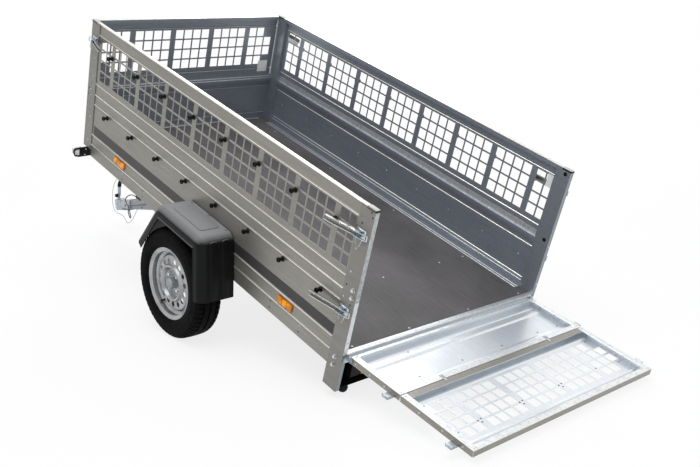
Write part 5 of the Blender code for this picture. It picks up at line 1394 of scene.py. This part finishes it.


# Lamps and marker lamps

def make_lamps():
    """Rear lamps with their chambers, and the front marker lamps on their holders."""
    for side, sign in SIDES:
        flip = flipped(sign)
        toward_rear = flip @ ALONG
        lamp = Shape()
        outline = round_box(0.345, -0.165, 0.555, -0.075, 0.012, 4)
        lamp.take(prism(outline, -0.069, -0.033, 0.003, 2), 1, toward_rear)
        for near, far, finish in ((0.349, 0.413, 0), (0.416, 0.485, 2), (0.488, 0.551, 1)):
            cell = round_box(near, -0.161, far, -0.079, 0.006, 3)
            lamp.take(prism(cell, -0.034, -0.019, 0.0028, 3), finish, toward_rear)
        cell = round_box(0.349, -0.161, 0.413, -0.14, 0.004, 2)
        lamp.take(prism(cell, -0.02, -0.0176, 0.0008, 1), 3, toward_rear)
        for x in (0.356, 0.544):
            lamp.take(screw_head(0.0035, 0.0016), 4, facing((sign * x, 0.019, -0.087), BACKWARDS, UP))
        lamp.turn_into("rear_lamp_%s_lens" % side, ("red", "housing", "amber", "clear", "screw"), "bed",
                       "lamp_lens", BED, ("rear_lamp_" + side,))
        holder = Shape()
        shares = ((0.0, 0.0), (0.0, 0.93), (0.79, 1.0), (0.945, 0.9), (1.0, 0.6), (0.976, 0.23),
                  (0.854, 0.06), (0.61, 0.0))
        outline = rounded([(0.56 + 0.164 * across, -0.0523 - 0.06 * down)
                           for across, down in shares], 0.006, 3)
        toward_front = flip @ FORWARD
        holder.take(prism(outline, 2.318, 2.324, 0.0014, 2), 0, toward_front)
        lens_outline = rounded(mm(((662, -104), (700, -106), (719, -96), (720, -70), (706, -60),
                                   (662, -60))), 0.008, 3)
        holder.take(prism(lens_outline, 2.3238, 2.336, 0.0008, 1), 0, toward_front)
        holder.take(prism(lens_outline, 2.3356, 2.352, 0.004, 3), 2, toward_front)
        rear_lens = rounded(mm(((690, -100), (716, -95), (717, -72), (700, -64), (690, -64))), 0.004, 3)
        holder.take(prism(rear_lens, 2.315, 2.3185, 0.0014, 2), 2, toward_front)
        for x, z in mm(((575, -66), (575, -98), (612, -62), (612, -104), (650, -66), (655, -100))):
            holder.take(screw_head(0.0042, 0.0022), 1, facing((sign * x, 2.318, z), BACKWARDS, UP))
            holder.take(hex_bolt(0.0052, 0.004), 1, facing((sign * x, 2.324, z), FORWARDS, UP))
        holder.turn_into("marker_%s_holder" % side, ("housing", "screw", "clear"), "bed", "black_plastic",
                         BED, ("marker_holder_" + side,))


# Running gear and underside

def make_running_gear():
    """U-bolts on the axle, bolts through the rails, the pivot pin's nuts and the drawbar's lock pin."""
    shape = Shape()
    for sign in SIGNS:
        for y in (1.205, 1.285):
            shape.take(sweep(bent(((sign * 0.44 - 0.034, y, -0.104), (sign * 0.44 - 0.034, y, -0.184),
                                   (sign * 0.44 + 0.034, y, -0.184), (sign * 0.44 + 0.034, y, -0.104)), 0.01,
                                  3), circle(0.0045, 8), up=(0.0, 1.0, 0.0)), 0)
        for y in (1.0, 1.39):
            shape.take(washer(0.012, 0.0018), 0, wall_place(sign, y, -0.07, 0.461))
            shape.take(hex_bolt(0.01, 0.009), 0, wall_place(sign, y, -0.07, 0.4625))
    for sign in SIGNS:
        shape.take(washer(0.015, 0.002), 0, wall_place(sign, 1.4, -0.1, 0.042))
        shape.take(hex_bolt(0.0125, 0.01), 0, wall_place(sign, 1.4, -0.1, 0.0435))
    shape.turn_into("running_gear_bolts", ("screw",), "bed", "zinc_plated_steel", BED)
    bar = Shape()
    for sign in SIGNS:
        for y in (0.3, 0.76):
            bar.take(mark(0.006), 1, wall_place(sign, y, 0.0, TUBE / 2))
        bar.take(screw_head(0.006, 0.003), 0, wall_place(sign, 1.11, 0.0, TUBE / 2))
    bar.take(prism(round_box(-0.024, 1.21, 0.024, 1.285, 0.004, 2), TUBE / 2 - 0.0002, TUBE / 2 + 0.0007,
                   0.0002, 1), 2)
    bar.turn_into("drawbar_details", ("screw", "hole", "plate"), "drawbar", "zinc_plated_steel", BAR)


# Finishes of the frame's own nodes

# The first row that a node's name starts with counts, so the floor's rails come before the floor
FRAME_FINISHES = (("sheet", ("side_board_", "side_mesh_")),
                  ("post", ("post_", "front_board", "front_mesh", "floor_rail_")),
                  ("gate", ("tailgate_board", "tailgate_mesh", "rear_sill")),
                  ("frame", ("crossmember_", "axle_rail_", "axle_beam", "trailing_arm_", "drawbar_tube",
                             "hub_")), ("zinc", ("gate_hinge_", "front_hinge_")), ("plywood", ("floor",)),
                  ("housing", ("lamp_board",)), ("rubber", ("buffer_",)))


def finish_frame():
    """Gives each shown node of the frame the finish of its real material."""
    for name, shown in frame["nodes"].items():
        finish = next((key for key, starts in FRAME_FINISHES if name.startswith(starts)), None)
        if finish:
            for held in shown.material_slots:
                held.material = MATERIALS[finish]


# Sizes and colours that a user would change

def colour_of(name):
    """A user's colour as linear red, green, blue and alpha."""
    return tuple(getattr(bpy.context.scene.trailer_looks, name))


class TrailerSizes(bpy.types.PropertyGroup):
    """Sizes of the fittings."""

    hook_radius: bpy.props.FloatProperty(name="Hook button radius",
                                         description="Radius of a rope hook's button", default=0.0120,
                                         min=0.006, max=0.03, unit="LENGTH", subtype="DISTANCE")
    hook_stand: bpy.props.FloatProperty(name="Hook stand",
                                        description="How far a rope hook stands off the wall", default=0.028,
                                        min=0.01, max=0.05, unit="LENGTH", subtype="DISTANCE")
    stripe_width: bpy.props.FloatProperty(name="Stripe width", description="Height of the black side stripe",
                                          default=0.052, min=0.01, max=0.12, unit="LENGTH",
                                          subtype="DISTANCE")
    crest_width: bpy.props.FloatProperty(name="Crest width",
                                         description="Width of the bright line along a pressed ridge",
                                         default=0.0040, min=0.001, max=0.01, unit="LENGTH",
                                         subtype="DISTANCE")
    screw_radius: bpy.props.FloatProperty(name="Screw radius",
                                          description="Radius of the floor and wall screws' heads",
                                          default=0.0052, min=0.002, max=0.01, unit="LENGTH",
                                          subtype="DISTANCE")
    lever_width: bpy.props.FloatProperty(name="Latch lever width",
                                         description="Width of a latch's channel lever", default=0.024,
                                         min=0.01, max=0.04, unit="LENGTH", subtype="DISTANCE")


class TrailerLooks(bpy.types.PropertyGroup):
    """Colours of the fittings."""

    stripe: bpy.props.FloatVectorProperty(name="Stripe", description="Colour of the side stripe",
                                          subtype="COLOR", size=4, min=0.0, max=1.0,
                                          default=linear("#333133"))
    wheel: bpy.props.FloatVectorProperty(name="Wheel", description="Colour of the wheels' lacquer",
                                         subtype="COLOR", size=4, min=0.0, max=1.0, default=linear("#B4B6B8"))
    reflector: bpy.props.FloatVectorProperty(name="Reflector", description="Colour of the side reflectors",
                                             subtype="COLOR", size=4, min=0.0, max=1.0,
                                             default=linear("#FFA412"))
    plywood: bpy.props.FloatVectorProperty(name="Floor", description="Colour of the floor's film",
                                           subtype="COLOR", size=4, min=0.0, max=1.0,
                                           default=linear("#686566"))


class TRAILER_OT_stage(bpy.types.Operator):
    """Adds the camera, the pale floor, the white surround and the soft light"""

    bl_idname = "trailer.stage"
    bl_label = "Stage"

    def execute(self, context):
        make_materials()
        set_camera()
        set_stage()
        return {"FINISHED"}


class TRAILER_OT_cords(bpy.types.Operator):
    """Adds the lighting cable with its plug, and the safety cable"""

    bl_idname = "trailer.cords"
    bl_label = "Cords"

    def execute(self, context):
        make_cords()
        return {"FINISHED"}


class TRAILER_OT_coupling(bpy.types.Operator):
    """Adds the coupling head and its handle"""

    bl_idname = "trailer.coupling"
    bl_label = "Coupling"

    def execute(self, context):
        make_coupling()
        return {"FINISHED"}


class TRAILER_OT_wheels(bpy.types.Operator):
    """Adds the tyres and the pressed wheels with their fastenings"""

    bl_idname = "trailer.wheels"
    bl_label = "Wheels"

    def execute(self, context):
        make_wheels()
        return {"FINISHED"}


class TRAILER_OT_fenders(bpy.types.Operator):
    """Adds the moulded fenders"""

    bl_idname = "trailer.fenders"
    bl_label = "Fenders"

    def execute(self, context):
        make_fenders()
        return {"FINISHED"}


class TRAILER_OT_side_trim(bpy.types.Operator):
    """Adds the stripes, ridge crests, top folds, reflectors and blank labels"""

    bl_idname = "trailer.side_trim"
    bl_label = "Side trim"

    def execute(self, context):
        make_side_trim()
        return {"FINISHED"}


class TRAILER_OT_rope_hooks(bpy.types.Operator):
    """Adds the rope hooks along both sides"""

    bl_idname = "trailer.rope_hooks"
    bl_label = "Rope hooks"

    def execute(self, context):
        make_rope_hooks()
        return {"FINISHED"}


class TRAILER_OT_latches(bpy.types.Operator):
    """Adds the over-centre latches with their levers, springs and bails"""

    bl_idname = "trailer.latches"
    bl_label = "Latches"

    def execute(self, context):
        make_latches()
        return {"FINISHED"}


class TRAILER_OT_posts(bpy.types.Operator):
    """Adds the corner posts' lids, faces, bolts and punched holes"""

    bl_idname = "trailer.posts"
    bl_label = "Posts"

    def execute(self, context):
        make_posts()
        return {"FINISHED"}


class TRAILER_OT_floor(bpy.types.Operator):
    """Adds the floor's screws and edge strips"""

    bl_idname = "trailer.floor"
    bl_label = "Floor details"

    def execute(self, context):
        make_floor_details()
        return {"FINISHED"}


class TRAILER_OT_tailgate(bpy.types.Operator):
    """Adds the tailgate's steps, rims, catches, pins and screws"""

    bl_idname = "trailer.tailgate"
    bl_label = "Tailgate details"

    def execute(self, context):
        make_tailgate_details()
        return {"FINISHED"}


class TRAILER_OT_front(bpy.types.Operator):
    """Adds the front wall's rims, hinge pins and fasteners"""

    bl_idname = "trailer.front"
    bl_label = "Front wall details"

    def execute(self, context):
        make_front_details()
        return {"FINISHED"}


class TRAILER_OT_lamps(bpy.types.Operator):
    """Adds the rear lamps and front marker lamps"""

    bl_idname = "trailer.lamps"
    bl_label = "Lamps"

    def execute(self, context):
        make_lamps()
        return {"FINISHED"}


class TRAILER_OT_running_gear(bpy.types.Operator):
    """Adds the U-bolts and bolts under the bed, and the drawbar's details"""

    bl_idname = "trailer.running_gear"
    bl_label = "Running gear details"

    def execute(self, context):
        make_running_gear()
        return {"FINISHED"}


class TRAILER_OT_frame_finishes(bpy.types.Operator):
    """Gives every shown node of the frame its finish"""

    bl_idname = "trailer.frame_finishes"
    bl_label = "Frame finishes"

    def execute(self, context):
        finish_frame()
        return {"FINISHED"}


OPERATORS = (TRAILER_OT_stage, TRAILER_OT_cords, TRAILER_OT_coupling, TRAILER_OT_wheels, TRAILER_OT_fenders,
             TRAILER_OT_side_trim, TRAILER_OT_rope_hooks, TRAILER_OT_latches, TRAILER_OT_posts,
             TRAILER_OT_floor, TRAILER_OT_tailgate, TRAILER_OT_front, TRAILER_OT_lamps,
             TRAILER_OT_running_gear, TRAILER_OT_frame_finishes)


class TRAILER_PT_panel(bpy.types.Panel):
    """Lists the trailer's sizes, colours and pieces"""

    bl_idname = "TRAILER_PT_panel"
    bl_label = "Utility trailer"
    bl_space_type = "VIEW_3D"
    bl_region_type = "UI"
    bl_category = "Trailer"

    def draw(self, context):
        for group in (context.scene.trailer_sizes, context.scene.trailer_looks):
            for key in group.__annotations__:
                self.layout.prop(group, key)
        for operator in OPERATORS:
            self.layout.operator(operator.bl_idname)


CLASSES = (TrailerSizes, TrailerLooks) + OPERATORS + (TRAILER_PT_panel,)


def register():
    for kind in CLASSES:
        bpy.utils.register_class(kind)
    bpy.types.Scene.trailer_sizes = bpy.props.PointerProperty(type=TrailerSizes)
    bpy.types.Scene.trailer_looks = bpy.props.PointerProperty(type=TrailerLooks)


def unregister():
    del bpy.types.Scene.trailer_looks
    del bpy.types.Scene.trailer_sizes
    for kind in reversed(CLASSES):
        bpy.utils.unregister_class(kind)


def main():
    """Builds every piece in order."""
    register()
    for operator in OPERATORS:
        group, name = operator.bl_idname.split(".")
        getattr(getattr(bpy.ops, group), name)()


if __name__ == "__main__":
    main()
